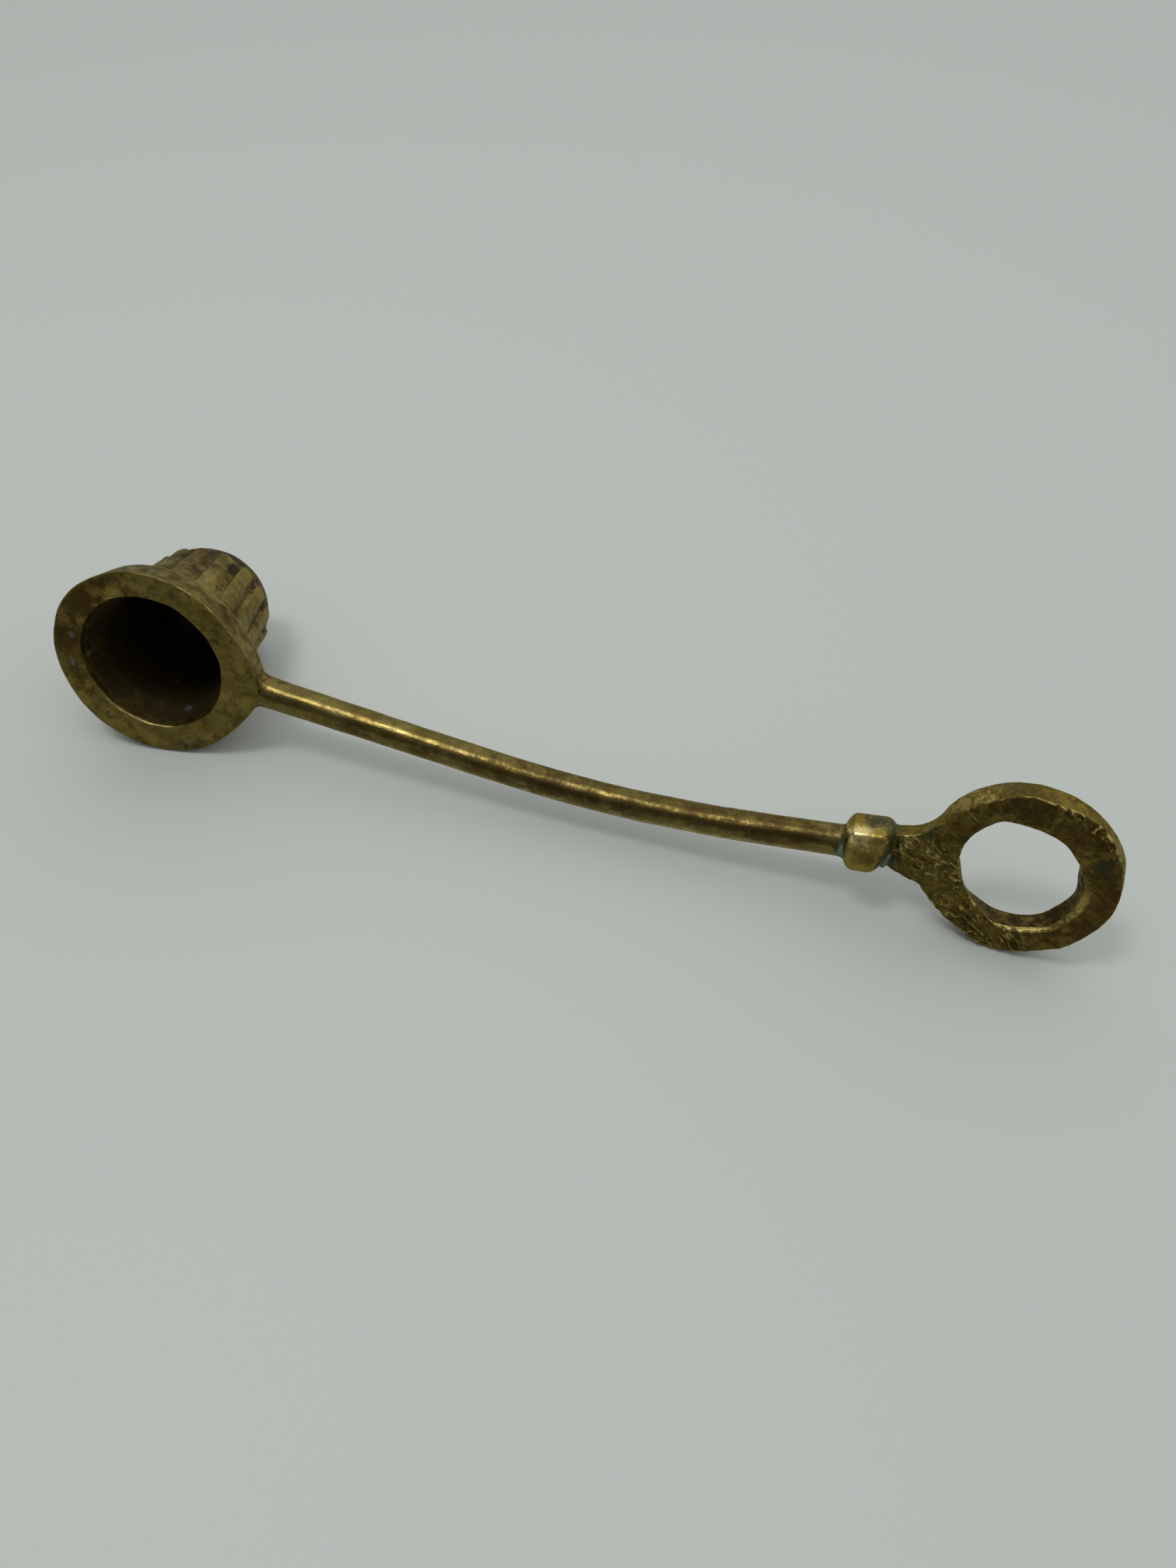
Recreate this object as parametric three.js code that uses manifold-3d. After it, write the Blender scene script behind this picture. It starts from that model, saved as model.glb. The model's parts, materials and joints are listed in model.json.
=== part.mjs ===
// Brass candle snuffer lying on a table: a fluted bell with a broad flange, a bent stem brazed to the
// edge of the flange, a faceted collar and a flat finger ring with filed facets.
// Millimetres, +Z up, the table at z = 0, the stem running along +X, the origin under the middle.

import * as THREE from 'three';
import { mergeVertices } from 'three/addons/utils/BufferGeometryUtils.js';
import Module from 'manifold-3d';

// Bell, measured from its mouth: depths run from the flange's flat face towards the crown.
const mouthRadius = 14.4;
const mouthLip = 0.8;            // rounding between the flat face and the mouth
const flangeWidth = 5.6;         // mouth edge to the sharp outer edge
const flangeThickness = 6.5;
const flangeTaper = 1.2;         // the outer edge is this much smaller at the back of the flange
const throatRadius = 12.7;       // inside, level with the back of the flange
const insideShoulderRadius = 10.6;
const bellWall = 2.1;            // cup wall at the bottom of the grooves
const shoulderDepth = 26.0;      // where the cup starts to turn in to the crown
const bellDepth = 34.9;
const crownRadius = 9.0;         // edge of the low dome on top
const crownRise = 0.5;           // height of that dome
const crownThickness = 3.2;
const rootFillet = 0.9;          // between the back of the flange and the cup
const bossRise = 2.0;            // the flange's edge swells this much where the stem is set
const bossWidth = 7;             // along the edge, from the swell's top to where it has mostly run out

// Ribs: raised tongues along the cup, round at the crown end.
const ribCount = 16;
const ribHeight = 0.65;
const ribTipDepth = 28.6;
const ribWidth = 3.9;            // at the foot of the rib's flanks
const ribFlank = 1.1;            // width of each sloping flank

// Stem: straight from the flange, bent once in the plane of the handle, straight into the collar.
const stemRimDiameter = 6.1;
const stemWaistDiameter = 5.5;
const stemCollarDiameter = 5.65;
const firstRun = 49.9;
const bendRadius = 255;
const bendAngle = 12.1;          // degrees
const lastRun = 15.0;
const startSlope = -5.7;         // degrees, the first run falls away from the bell
const stemClock = 10.2;          // degrees, how far below the bell's axis level the stem is set
const bellTurn = 9.0;            // degrees, the mouth is turned towards the ring

// Joints: tenons on both ends of the stem, brazed into the flange and the ring's neck.
const tenonDiameter = 3.2;
const socketFloor = 2;           // metal left between the flange socket and the mouth
const neckSocketDepth = 4.5;
const fitGap = 0.3;
const brazeLeg = 1.6;            // fillets above and below the stem at the flange
const brazeThickness = 3.6;
const brazeEdge = 0.4;           // thickness left at the feather edge of every fillet
const beadLength = 1.5;          // fillet round the stem at the collar
const beadHeight = 0.95;
const neckBeadDiameter = 6.8;    // filler between the collar and the neck
const neckBeadLength = 1.0;

// Collar: an eight-sided bead with sloping shoulders.
const collarLength = 7.8;
const collarAcrossFlats = 9.8;
const collarSides = 8;
const collarShoulder = 1.5;
const collarEndDiameter = 7.8;

// Finger ring: one flat casting with its neck, filed to facets inside and out.
const ringOuterRadius = 16.6;
const ringHoleRadius = 10.5;
const ringThickness = 4.4;
const ringFacets = 18;
const holeFacets = 10;
const ringEdge = 0.5;            // chamfer along every edge
const neckOver = 3.5;             // neck's edges above and below the stem's axis
const neckUnder = 4.1;
const neckLength = 3.8;
const neckSpread = 31;           // degrees of the ring's outline that the neck runs into, each side
const ringTurn = 4.5;            // degrees, the ring's plane is turned on the neck

// Facet counts and tolerances of the mesh.
const stepsPerRib = 6;
const cupSteps = 6;
const turnSteps = 9;
const domeSteps = 4;
const filletSteps = 2;
const stemStations = 28;
const stemSides = 16;
const boreSides = 24;
const curveSteps = 6;
const settlePasses = 30;
const weldDistance = 1e-4;

const flangeRadius = mouthRadius + flangeWidth;
const flangeBackRadius = flangeRadius - flangeTaper;
const jointRadius = (flangeRadius + flangeBackRadius) / 2 + bossRise;
const clock = THREE.MathUtils.degToRad(stemClock);
const stemLength = firstRun + bendRadius * THREE.MathUtils.degToRad(bendAngle) + lastRun;

const wasm = await Module();
wasm.setup();

// A closed geometry as a solid that can be cut and joined.
function solidOf(geometry) {
  const bare = geometry.clone();
  bare.deleteAttribute('normal');
  bare.deleteAttribute('uv');
  const welded = mergeVertices(bare, weldDistance);
  return new wasm.Manifold(new wasm.Mesh({
    numProp: 3,
    vertProperties: new Float32Array(welded.attributes.position.array),
    triVerts: new Uint32Array(welded.index.array),
  }));
}

// The surface of a solid as a geometry.
function geometryOf(solid) {
  const mesh = solid.getMesh();
  const geometry = new THREE.BufferGeometry();
  geometry.setAttribute('position', new THREE.BufferAttribute(mesh.vertProperties, 3));
  geometry.setIndex(new THREE.BufferAttribute(mesh.triVerts, 1));
  geometry.computeVertexNormals();
  return geometry;
}

// A closed skin over rings of points, drawn shut to one point at each end.
function skinOf(startPoint, rings, endPoint) {
  const points = [startPoint, ...rings.flat(), endPoint];
  const count = rings[0].length;
  const last = points.length - 1;
  const faces = [];
  for (let step = 0; step < count; step += 1) {
    const next = (step + 1) % count;
    faces.push(0, 1 + step, 1 + next);
    for (let ring = 0; ring + 1 < rings.length; ring += 1) {
      const here = 1 + ring * count;
      const there = here + count;
      faces.push(here + step, there + next, here + next);
      faces.push(here + step, there + step, there + next);
    }
    faces.push(last, last - count + next, last - count + step);
  }
  const geometry = new THREE.BufferGeometry().setFromPoints(points);
  geometry.setIndex(faces);
  return geometry;
}

// One ring of the bell's skin: its depth, and its radius as a number or as a rule for each angle.
function bellRing(depth, radius) {
  const steps = ribCount * stepsPerRib;
  return Array.from({ length: steps }, (unused, step) => {
    const angle = step / steps * 2 * Math.PI;
    const full = typeof radius === 'function' ? radius(angle) : radius;
    return new THREE.Vector3(full * Math.cos(angle), depth, full * Math.sin(angle));
  });
}

// Radius of the flange's tapered edge: it swells to a boss round the stem.
function edgeRadius(depth, angle) {
  const aside = Math.atan2(Math.sin(angle + clock), Math.cos(angle + clock)) * flangeRadius;
  const plain = THREE.MathUtils.mapLinear(depth, 0, flangeThickness, flangeRadius, flangeBackRadius);
  return plain + bossRise * Math.exp(-((aside / bossWidth) ** 2));
}

// Radius of the bell's inside at a depth between the flange and the shoulder.
function insideRadius(depth) {
  const share = (depth - flangeThickness) / (shoulderDepth - flangeThickness);
  return THREE.MathUtils.lerp(throatRadius, insideShoulderRadius, share);
}

// Height of the rib pattern at an angle and depth: tongues with sloping flanks and round tips.
function ribRise(angle, depth, radius) {
  const pitch = 2 * Math.PI / ribCount;
  const aside = Math.abs(angle - pitch * Math.round(angle / pitch)) * radius;
  const pastTip = Math.max(0, depth - (ribTipDepth - ribWidth / 2));
  const fromSpine = Math.hypot(aside, pastTip);
  return ribHeight * (1 - THREE.MathUtils.smoothstep(fromSpine, ribWidth / 2 - ribFlank, ribWidth / 2));
}

// One ring of the cup's outside, with the ribs standing on it.
function cupRing(depth, radius) {
  return bellRing(depth, (angle) => radius + ribRise(angle, depth, radius));
}

// Rings of the bell's outside from the flat face to the crown.
function bellOutside() {
  const rootRadius = throatRadius + bellWall + ribHeight + rootFillet;
  const rings = [
    bellRing(0, (angle) => edgeRadius(0, angle)),
    bellRing(flangeThickness, (angle) => edgeRadius(flangeThickness, angle)),
    bellRing(flangeThickness, rootRadius),
  ];
  for (let step = 0; step <= cupSteps; step += 1) {
    const depth = THREE.MathUtils.lerp(flangeThickness + rootFillet, shoulderDepth, step / cupSteps);
    rings.push(cupRing(depth, insideRadius(depth) + bellWall));
  }
  const shoulderRadius = insideShoulderRadius + bellWall;
  for (let step = 1; step <= turnSteps; step += 1) {
    const turn = step / turnSteps * Math.PI / 2;
    const depth = THREE.MathUtils.lerp(shoulderDepth, bellDepth - crownRise, Math.sin(turn));
    rings.push(cupRing(depth, THREE.MathUtils.lerp(crownRadius, shoulderRadius, Math.cos(turn))));
  }
  const domeMiddle = 1 / 2;
  rings.push(bellRing(bellDepth - crownRise * domeMiddle ** 2, crownRadius * domeMiddle));
  return rings;
}

// Rings of the bell's inside from the floor to the rounded lip of the mouth.
function bellInside() {
  const floorDepth = bellDepth - crownThickness;
  const rings = [];
  for (let step = 1; step <= domeSteps; step += 1) {
    const turn = step / domeSteps * Math.PI / 2;
    const depth = THREE.MathUtils.lerp(shoulderDepth, floorDepth, Math.cos(turn));
    rings.push(bellRing(depth, insideShoulderRadius * Math.sin(turn)));
  }
  rings.push(bellRing(flangeThickness, throatRadius));
  for (let step = 0; step <= filletSteps; step += 1) {
    const turn = step / filletSteps * Math.PI / 2;
    const outward = mouthLip * (1 - Math.cos(turn));
    rings.push(bellRing(mouthLip * (1 - Math.sin(turn)), mouthRadius + outward));
  }
  return rings;
}

// The bell in its own frame: mouth at y = 0 facing -Y, crown along +Y.
function bellGeometry() {
  const floorPoint = new THREE.Vector3(0, bellDepth - crownThickness, 0);
  const crownPoint = new THREE.Vector3(0, bellDepth, 0);
  return skinOf(floorPoint, [...bellInside(), ...bellOutside()], crownPoint);
}

// The flange's edge as a plug, larger by a spare and carried past both faces, to cut what butts on it.
function edgePlug(spare) {
  const low = -stemRimDiameter;
  const high = flangeThickness + stemRimDiameter;
  const rings = [low, high].map((depth) => bellRing(depth, (angle) => edgeRadius(depth, angle) + spare));
  return skinOf(new THREE.Vector3(0, low, 0), rings, new THREE.Vector3(0, high, 0));
}

// Place and slope of the stem's axis, in the plane y = 0, at a distance from the flange.
function stemAt(along) {
  const start = THREE.MathUtils.degToRad(startSlope);
  const fullBend = THREE.MathUtils.degToRad(bendAngle);
  const turned = THREE.MathUtils.clamp((along - firstRun) / bendRadius, 0, fullBend);
  const slope = start + turned;
  const before = Math.min(along, firstRun);
  const after = Math.max(0, along - firstRun - bendRadius * turned);
  const bendX = bendRadius * (Math.sin(slope) - Math.sin(start));
  const bendZ = bendRadius * (Math.cos(start) - Math.cos(slope));
  const x = before * Math.cos(start) + bendX + after * Math.cos(slope);
  const z = before * Math.sin(start) + bendZ + after * Math.sin(slope);
  return { point: new THREE.Vector3(x, 0, z), slope };
}

// Radius of the stem: widest at the flange, slimmest halfway.
function stemRadius(along) {
  const share = THREE.MathUtils.clamp(along / stemLength, 0, 1) * 2 - 1;
  const end = share < 0 ? stemRimDiameter : stemCollarDiameter;
  return THREE.MathUtils.lerp(stemWaistDiameter, end, share * share) / 2;
}

// A round bar along the stem's path, with a spare radius for cutting clearances.
function stemBar(from, to, spare) {
  const rings = [];
  for (let station = 0; station <= stemStations; station += 1) {
    const along = THREE.MathUtils.lerp(from, to, station / stemStations);
    const { point, slope } = stemAt(along);
    const radius = stemRadius(along) + spare;
    rings.push(Array.from({ length: stemSides }, (unused, side) => {
      const angle = side / stemSides * 2 * Math.PI;
      const rise = radius * Math.cos(angle);
      const out = radius * Math.sin(angle);
      return point.clone().add(new THREE.Vector3(-rise * Math.sin(slope), out, rise * Math.cos(slope)));
    }));
  }
  return skinOf(stemAt(from).point, rings, stemAt(to).point);
}

// A revolved shape laid along the stem's axis: its own +Y points from the flange towards the ring.
function alongStem(geometry, along) {
  const { point, slope } = stemAt(along);
  geometry.rotateZ(-Math.PI / 2);
  geometry.rotateY(-slope);
  return geometry.translate(point.x, point.y, point.z);
}

// A round pin on the stem's axis between two distances from the flange.
function stemPin(from, to, radius) {
  const pin = new THREE.CylinderGeometry(radius, radius, to - from, boreSides);
  return alongStem(pin.translate(0, (to - from) / 2, 0), from);
}

// A ring-shaped solid from a closed outline of radius and height.
function revolve(outline, sides) {
  const points = outline.map(([radius, height]) => new THREE.Vector2(radius, height));
  return new THREE.LatheGeometry([...points, points[0]], sides);
}

// The bell stands so that the stem meets the middle of the flange's edge at the handle's origin.
const bellPlace = new THREE.Group();
bellPlace.rotation.z = THREE.MathUtils.degToRad(bellTurn);
bellPlace.position.set(-jointRadius * Math.cos(clock), -flangeThickness / 2, jointRadius * Math.sin(clock));
bellPlace.position.applyAxisAngle(new THREE.Vector3(0, 0, 1), bellPlace.rotation.z);
bellPlace.updateMatrix();
const toBell = bellPlace.matrix.clone().invert();

// Stations along the stem's axis past its shoulder.
const collarFrom = stemLength + fitGap;
const collarTo = collarFrom + collarLength;
const neckBeadFrom = collarTo + fitGap;
const neckFrom = neckBeadFrom + neckBeadLength + fitGap;
const tenonRadius = tenonDiameter / 2;
const socketRadius = tenonRadius + fitGap;
const rimTenonLength = jointRadius - mouthRadius - socketFloor;

// Bell with the socket for the stem's tenon.
const rimSocket = stemPin(-rimTenonLength - fitGap, stemRimDiameter, socketRadius).applyMatrix4(toBell);
const bellSolid = solidOf(bellGeometry()).subtract(solidOf(rimSocket));

// Stem, its end hollowed to the flange's edge, with a tenon at each end.
const clearFlange = solidOf(edgePlug(fitGap).applyMatrix4(bellPlace.matrix));
const rimTenon = solidOf(stemPin(-rimTenonLength, stemRimDiameter, tenonRadius));
const neckTenon = solidOf(stemPin(stemLength - neckSocketDepth, neckFrom + neckSocketDepth, tenonRadius));
const stemSolid = solidOf(stemBar(-stemRimDiameter / 2, stemLength, 0))
  .subtract(clearFlange)
  .add(rimTenon)
  .add(neckTenon);

// Filler in the corner between the flange's edge and the stem; side is +1 above and -1 below.
function rimBraze(side) {
  const foot = stemRimDiameter / 2;
  const top = foot + fitGap + brazeEdge;
  const corner = new THREE.Shape();
  corner.moveTo(-brazeLeg, 0);
  corner.lineTo(fitGap + brazeLeg, 0);
  corner.lineTo(fitGap + brazeLeg, side * top);
  corner.quadraticCurveTo(fitGap + brazeEdge, side * top, fitGap + brazeEdge, side * (top + brazeLeg));
  corner.lineTo(-brazeLeg, side * (top + brazeLeg));
  const wedge = new THREE.ExtrudeGeometry(corner, {
    depth: brazeThickness,
    bevelEnabled: false,
    curveSegments: curveSteps,
  });
  wedge.rotateX(Math.PI / 2);
  wedge.translate(0, brazeThickness / 2, 0);
  wedge.rotateY(-stemAt(0).slope);
  const clearStem = solidOf(stemBar(-stemRimDiameter, firstRun, fitGap));
  return solidOf(wedge).subtract(clearStem).subtract(clearFlange);
}

// Collar, turned so that one of its flats faces the mouth's side.
function collarSolid() {
  const wide = collarAcrossFlats / 2 / Math.cos(Math.PI / collarSides);
  const narrow = collarEndDiameter / 2 / Math.cos(Math.PI / collarSides);
  const bead = new THREE.LatheGeometry([
    new THREE.Vector2(0, 0),
    new THREE.Vector2(narrow, 0),
    new THREE.Vector2(wide, collarShoulder),
    new THREE.Vector2(wide, collarLength - collarShoulder),
    new THREE.Vector2(narrow, collarLength),
    new THREE.Vector2(0, collarLength),
  ], collarSides);
  bead.rotateY(Math.PI / collarSides);
  const bore = stemPin(collarFrom - fitGap, collarTo + fitGap, socketRadius);
  return solidOf(alongStem(bead, collarFrom)).subtract(solidOf(bore));
}

// Fillet round the stem against the collar.
function stemBead() {
  const inner = stemCollarDiameter / 2 + fitGap;
  const outline = [[inner, 0], [inner, -beadLength]];
  for (let step = 0; step <= filletSteps; step += 1) {
    const turn = step / filletSteps * Math.PI / 2;
    const rise = beadHeight * (1 - Math.cos(turn));
    outline.push([inner + brazeEdge + rise, -beadLength * (1 - Math.sin(turn))]);
  }
  return alongStem(revolve(outline, stemSides), stemLength);
}

// Filler between the collar and the end of the neck, round the tenon.
function neckBead() {
  const outline = [
    [socketRadius, 0],
    [neckBeadDiameter / 2, 0],
    [neckBeadDiameter / 2, neckBeadLength],
    [socketRadius, neckBeadLength],
  ];
  return alongStem(revolve(outline, stemSides), neckBeadFrom);
}

// Outline of the ring and neck in the ring's own plane, the neck's end at the origin.
function ringOutline() {
  const centre = neckLength + ringOuterRadius;
  const spread = THREE.MathUtils.degToRad(neckSpread);
  const outline = new THREE.Shape();
  outline.moveTo(ringEdge, -neckUnder);
  outline.lineTo(ringEdge, neckOver);
  const facetSweep = 2 * (Math.PI - spread) / ringFacets;
  const firstX = centre - ringOuterRadius * Math.cos(spread);
  outline.quadraticCurveTo(neckLength, neckOver, firstX, ringOuterRadius * Math.sin(spread));
  for (let facet = 1; facet <= ringFacets; facet += 1) {
    const angle = Math.PI - spread - facet * facetSweep;
    outline.lineTo(centre + ringOuterRadius * Math.cos(angle), ringOuterRadius * Math.sin(angle));
  }
  outline.quadraticCurveTo(neckLength, -neckUnder, ringEdge, -neckUnder);
  const hole = new THREE.Path();
  for (let facet = 0; facet < holeFacets; facet += 1) {
    const angle = (facet + 1 / 2) / holeFacets * 2 * Math.PI;
    const corner = [centre + ringHoleRadius * Math.cos(angle), ringHoleRadius * Math.sin(angle)];
    if (facet === 0) {
      hole.moveTo(...corner);
    } else {
      hole.lineTo(...corner);
    }
  }
  hole.closePath();
  outline.holes.push(hole);
  return outline;
}

// Finger ring in its own frame: the neck starts at the origin and the ring's plane is y = 0.
const ringPlace = new THREE.Group();
ringPlace.position.copy(stemAt(neckFrom).point);
ringPlace.rotation.set(0, -stemAt(neckFrom).slope, -THREE.MathUtils.degToRad(ringTurn), 'ZYX');
ringPlace.updateMatrix();
const toRing = ringPlace.matrix.clone().invert();

function fingerRingSolid() {
  const ring = new THREE.ExtrudeGeometry(ringOutline(), {
    depth: ringThickness - 2 * ringEdge,
    bevelSize: ringEdge,
    bevelThickness: ringEdge,
    bevelOffset: -ringEdge,
    bevelSegments: 1,
    curveSegments: curveSteps,
  });
  ring.rotateX(Math.PI / 2);
  ring.translate(0, ringThickness / 2 - ringEdge, 0);
  const socket = stemPin(neckFrom - neckBeadLength, neckFrom + neckSocketDepth + fitGap, socketRadius);
  return solidOf(ring).subtract(solidOf(socket.applyMatrix4(toRing)));
}

// Aged brass, and the duller filler metal with its green bloom.
function brass(color, roughness) {
  return new THREE.MeshStandardMaterial({ color, roughness, metalness: 0.9 });
}

const bellBrass = brass(0x6f6135, 0.45);
const stemBrass = brass(0x7d6a34, 0.32);
const collarBrass = brass(0x8a7038, 0.3);
const ringBrass = brass(0x756233, 0.42);
const filler = brass(0x6b7a5c, 0.7);

function part(name, geometry, material) {
  const mesh = new THREE.Mesh(geometry, material);
  mesh.name = name;
  return mesh;
}

const handle = new THREE.Group();
const bell = part('bell', geometryOf(bellSolid), bellBrass);
const fingerRing = part('finger_ring', geometryOf(fingerRingSolid()), ringBrass);
bellPlace.add(bell);
ringPlace.add(fingerRing);
handle.add(bellPlace, ringPlace);
handle.add(part('stem', geometryOf(stemSolid), stemBrass));
handle.add(part('collar', geometryOf(collarSolid()), collarBrass));
handle.add(part('rim_braze_upper', geometryOf(rimBraze(1)), filler));
handle.add(part('rim_braze_lower', geometryOf(rimBraze(-1)), filler));
handle.add(part('stem_braze', geometryOf(solidOf(stemBead())), filler));
handle.add(part('neck_braze', geometryOf(solidOf(neckBead())), filler));

// Corner points of a mesh in the handle's frame, those that pass a test on their own place.
function cornersOf(mesh, keep) {
  const corners = [];
  const places = mesh.geometry.attributes.position;
  for (let index = 0; index < places.count; index += 1) {
    const corner = new THREE.Vector3().fromBufferAttribute(places, index);
    if (keep(corner)) {
      corners.push(mesh.localToWorld(corner));
    }
  }
  return corners;
}

// The plane that the snuffer rests on touches the rim, the crown and the finger ring from below.
function restingNormal(feet) {
  let up = new THREE.Vector3(0, 0, 1);
  const lower = (low, corner) => (corner.dot(up) < low.dot(up) ? corner : low);
  for (let pass = 0; pass < settlePasses; pass += 1) {
    const [rim, crown, ring] = feet.map((corners) => corners.reduce(lower));
    up = crown.clone().sub(rim).cross(ring.clone().sub(rim)).normalize();
    up.multiplyScalar(Math.sign(up.z));
  }
  return up;
}

handle.updateMatrixWorld(true);
const up = restingNormal([
  cornersOf(bell, (corner) => corner.y <= flangeThickness),
  cornersOf(bell, (corner) => corner.y > flangeThickness),
  cornersOf(fingerRing, () => true),
]);
const ahead = new THREE.Vector3(1, 0, 0).projectOnPlane(up).normalize();
const across = up.clone().cross(ahead);
handle.quaternion.setFromRotationMatrix(new THREE.Matrix4().makeBasis(ahead, across, up).transpose());
handle.updateMatrixWorld(true);
const extent = new THREE.Box3().setFromObject(handle, true);
const middle = extent.getCenter(new THREE.Vector3());
handle.position.set(-middle.x, -middle.y, -extent.min.z);

const snuffer = new THREE.Group();
snuffer.add(handle);

export default snuffer;
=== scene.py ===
import json
import math
import bpy
import numpy as np
from mathutils import Matrix, Vector, noise


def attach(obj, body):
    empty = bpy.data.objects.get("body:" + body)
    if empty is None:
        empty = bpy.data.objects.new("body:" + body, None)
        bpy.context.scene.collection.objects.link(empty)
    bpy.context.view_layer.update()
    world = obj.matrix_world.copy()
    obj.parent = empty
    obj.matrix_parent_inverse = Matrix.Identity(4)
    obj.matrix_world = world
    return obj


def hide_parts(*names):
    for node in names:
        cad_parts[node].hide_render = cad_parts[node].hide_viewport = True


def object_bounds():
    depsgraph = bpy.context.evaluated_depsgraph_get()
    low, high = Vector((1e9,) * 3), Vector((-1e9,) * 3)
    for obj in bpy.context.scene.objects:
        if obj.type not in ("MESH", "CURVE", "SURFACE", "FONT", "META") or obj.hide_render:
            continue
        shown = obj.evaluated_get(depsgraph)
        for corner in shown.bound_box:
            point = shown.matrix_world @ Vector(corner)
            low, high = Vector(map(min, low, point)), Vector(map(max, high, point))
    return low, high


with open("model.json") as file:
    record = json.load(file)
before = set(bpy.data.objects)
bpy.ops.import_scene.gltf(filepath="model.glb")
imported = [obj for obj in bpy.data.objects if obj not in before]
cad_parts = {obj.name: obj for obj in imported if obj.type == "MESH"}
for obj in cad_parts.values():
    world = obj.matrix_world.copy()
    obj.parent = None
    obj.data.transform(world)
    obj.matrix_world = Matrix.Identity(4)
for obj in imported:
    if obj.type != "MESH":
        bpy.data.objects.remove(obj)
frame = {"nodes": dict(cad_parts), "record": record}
cadBox = [list(corner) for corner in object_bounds()]
mm = 0.001
print("frame loaded")


# Shape helpers. Lengths are in millimetres until a mesh is made, angles in degrees.
def unit(v):
    return v / np.linalg.norm(v)


def nodePoints(name):
    item = frame["nodes"][name]
    return np.array([item.matrix_world @ v.co for v in item.data.vertices]) / mm


def acrossFlat(points):
    # the direction in which a flat cloud of points is thinnest
    return np.linalg.svd(points - points.mean(0))[2][2]


def insideBox(points):
    # no point leaves the solids' box
    return np.clip(points, *np.array(cadBox) / mm)


def ease(x, low, high):
    t = np.clip((np.asarray(x, float) - low) / (high - low), 0, 1)
    return t * t * (3 - 2 * t)


def hump(x, middle, width):
    return np.exp(-((np.asarray(x, float) - middle) / width) ** 2)


def turnGap(angle, middle):
    return (np.asarray(angle, float) - middle + 180) % 360 - 180


def turnHump(angle, middle, width):
    return hump(turnGap(angle, middle), 0, width)


def wave(angle, count, shift=0):
    # a ripple with so many crests in a turn
    return np.sin(np.radians(angle * count + shift))


def shares(count):
    # even steps from 0 towards 1
    return np.linspace(0, 1, count, endpoint=False)


def fullTurn(count, start=0):
    return np.linspace(start, start + 360, count, endpoint=False)


def quarterTurn(count, start=0):
    return np.radians(np.linspace(start, 90, count, endpoint=False))


def crossed(rows, cols):
    return np.meshgrid(rows, cols, indexing="ij")


def bowed(start, corner, stop, t):
    # a quadratic curve, for round corners and fillets
    return np.array(start) * (1 - t) ** 2 + 2 * np.array(corner) * t * (1 - t) + np.array(stop) * t ** 2


def wrapped(turn, radius, deep):
    # places round an axis, with the turn in radians
    return np.stack([radius * np.cos(turn), deep, radius * np.sin(turn)], -1)


def placed(local, middle, right, deep, up):
    return middle + local[..., :1] * right + local[..., 1:2] * deep + local[..., 2:] * up


def spots(angle, reach, girth, places, stretch=1.0):
    # soft round spots on a given girth: each place is an angle, a reach, a size and a strength
    total = np.zeros(np.broadcast(angle, reach).shape)
    for middle, at, size, strength in places:
        across = np.radians(turnGap(angle, middle)) * girth
        along = (reach - at) * stretch
        total = np.maximum(total, strength * np.exp(-(across ** 2 + along ** 2) / size ** 2))
    return total


def grain(points, size, seed):
    # soft random swells from about -1 to 1, roughly size millimetres across
    shift = Vector((seed * 13.7, seed * 7.1, seed * 3.3))
    flat = points.reshape(-1, 3) / size
    return np.array([noise.noise(Vector(p) + shift) for p in flat]).reshape(points.shape[:-1])


def lumpy(points, layers):
    # layers of grain, each with a size, a seed and a height
    return sum(grain(points, size, seed) * height for size, seed, height in layers)


def masks(names):
    # for each surface, the rows that lie on it
    return {name: (names == name)[:, None] for name in set(names)}


def gridFaces(rows, cols, closed):
    # quads over a grid whose columns run round, and whose rows run round too when closed
    r, c = crossed(np.arange(rows if closed else rows - 1), np.arange(cols))
    down = (r + 1) % rows
    side = (c + 1) % cols
    quads = np.stack([r * cols + c, r * cols + side, down * cols + side, down * cols + c], -1)
    return quads.reshape(-1, 4).tolist()


def addPiece(name, points, faces, marks, brush, material, node):
    mesh = bpy.data.meshes.new(name)
    mesh.from_pydata((points.reshape(-1, 3) * mm).tolist(), [], faces)
    for mark in ("tarnish", "sootAndShade", "wearAndSheen", "bloom", "grey", "copper"):
        values = marks.get(mark, np.zeros(len(mesh.vertices)))
        layer = mesh.attributes.new(mark, "FLOAT", "POINT")
        layer.data.foreach_set("value", np.clip(values, 0, 1).astype(np.float32).ravel())
    layer = mesh.attributes.new("brush", "FLOAT_VECTOR", "POINT")
    layer.data.foreach_set("vector", brush.astype(np.float32).ravel())
    mesh.calc_loop_triangles()
    corners = np.zeros(len(mesh.loop_triangles) * 3, int)
    mesh.loop_triangles.foreach_get("vertices", corners)
    a, b, c = points.reshape(-1, 3)[corners.reshape(-1, 3)].transpose(1, 0, 2)
    if (a * np.cross(b, c)).sum() < 0:  # the faces look inward
        mesh.flip_normals()
    mesh.shade_smooth()
    mesh.materials.append(material)
    piece = bpy.data.objects.new(name, mesh)
    bpy.context.scene.collection.objects.link(piece)
    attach(piece, "root")
    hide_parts(node)


def fillOut(marks, shape):
    return {key: np.broadcast_to(values, shape) for key, values in marks.items()}


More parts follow.
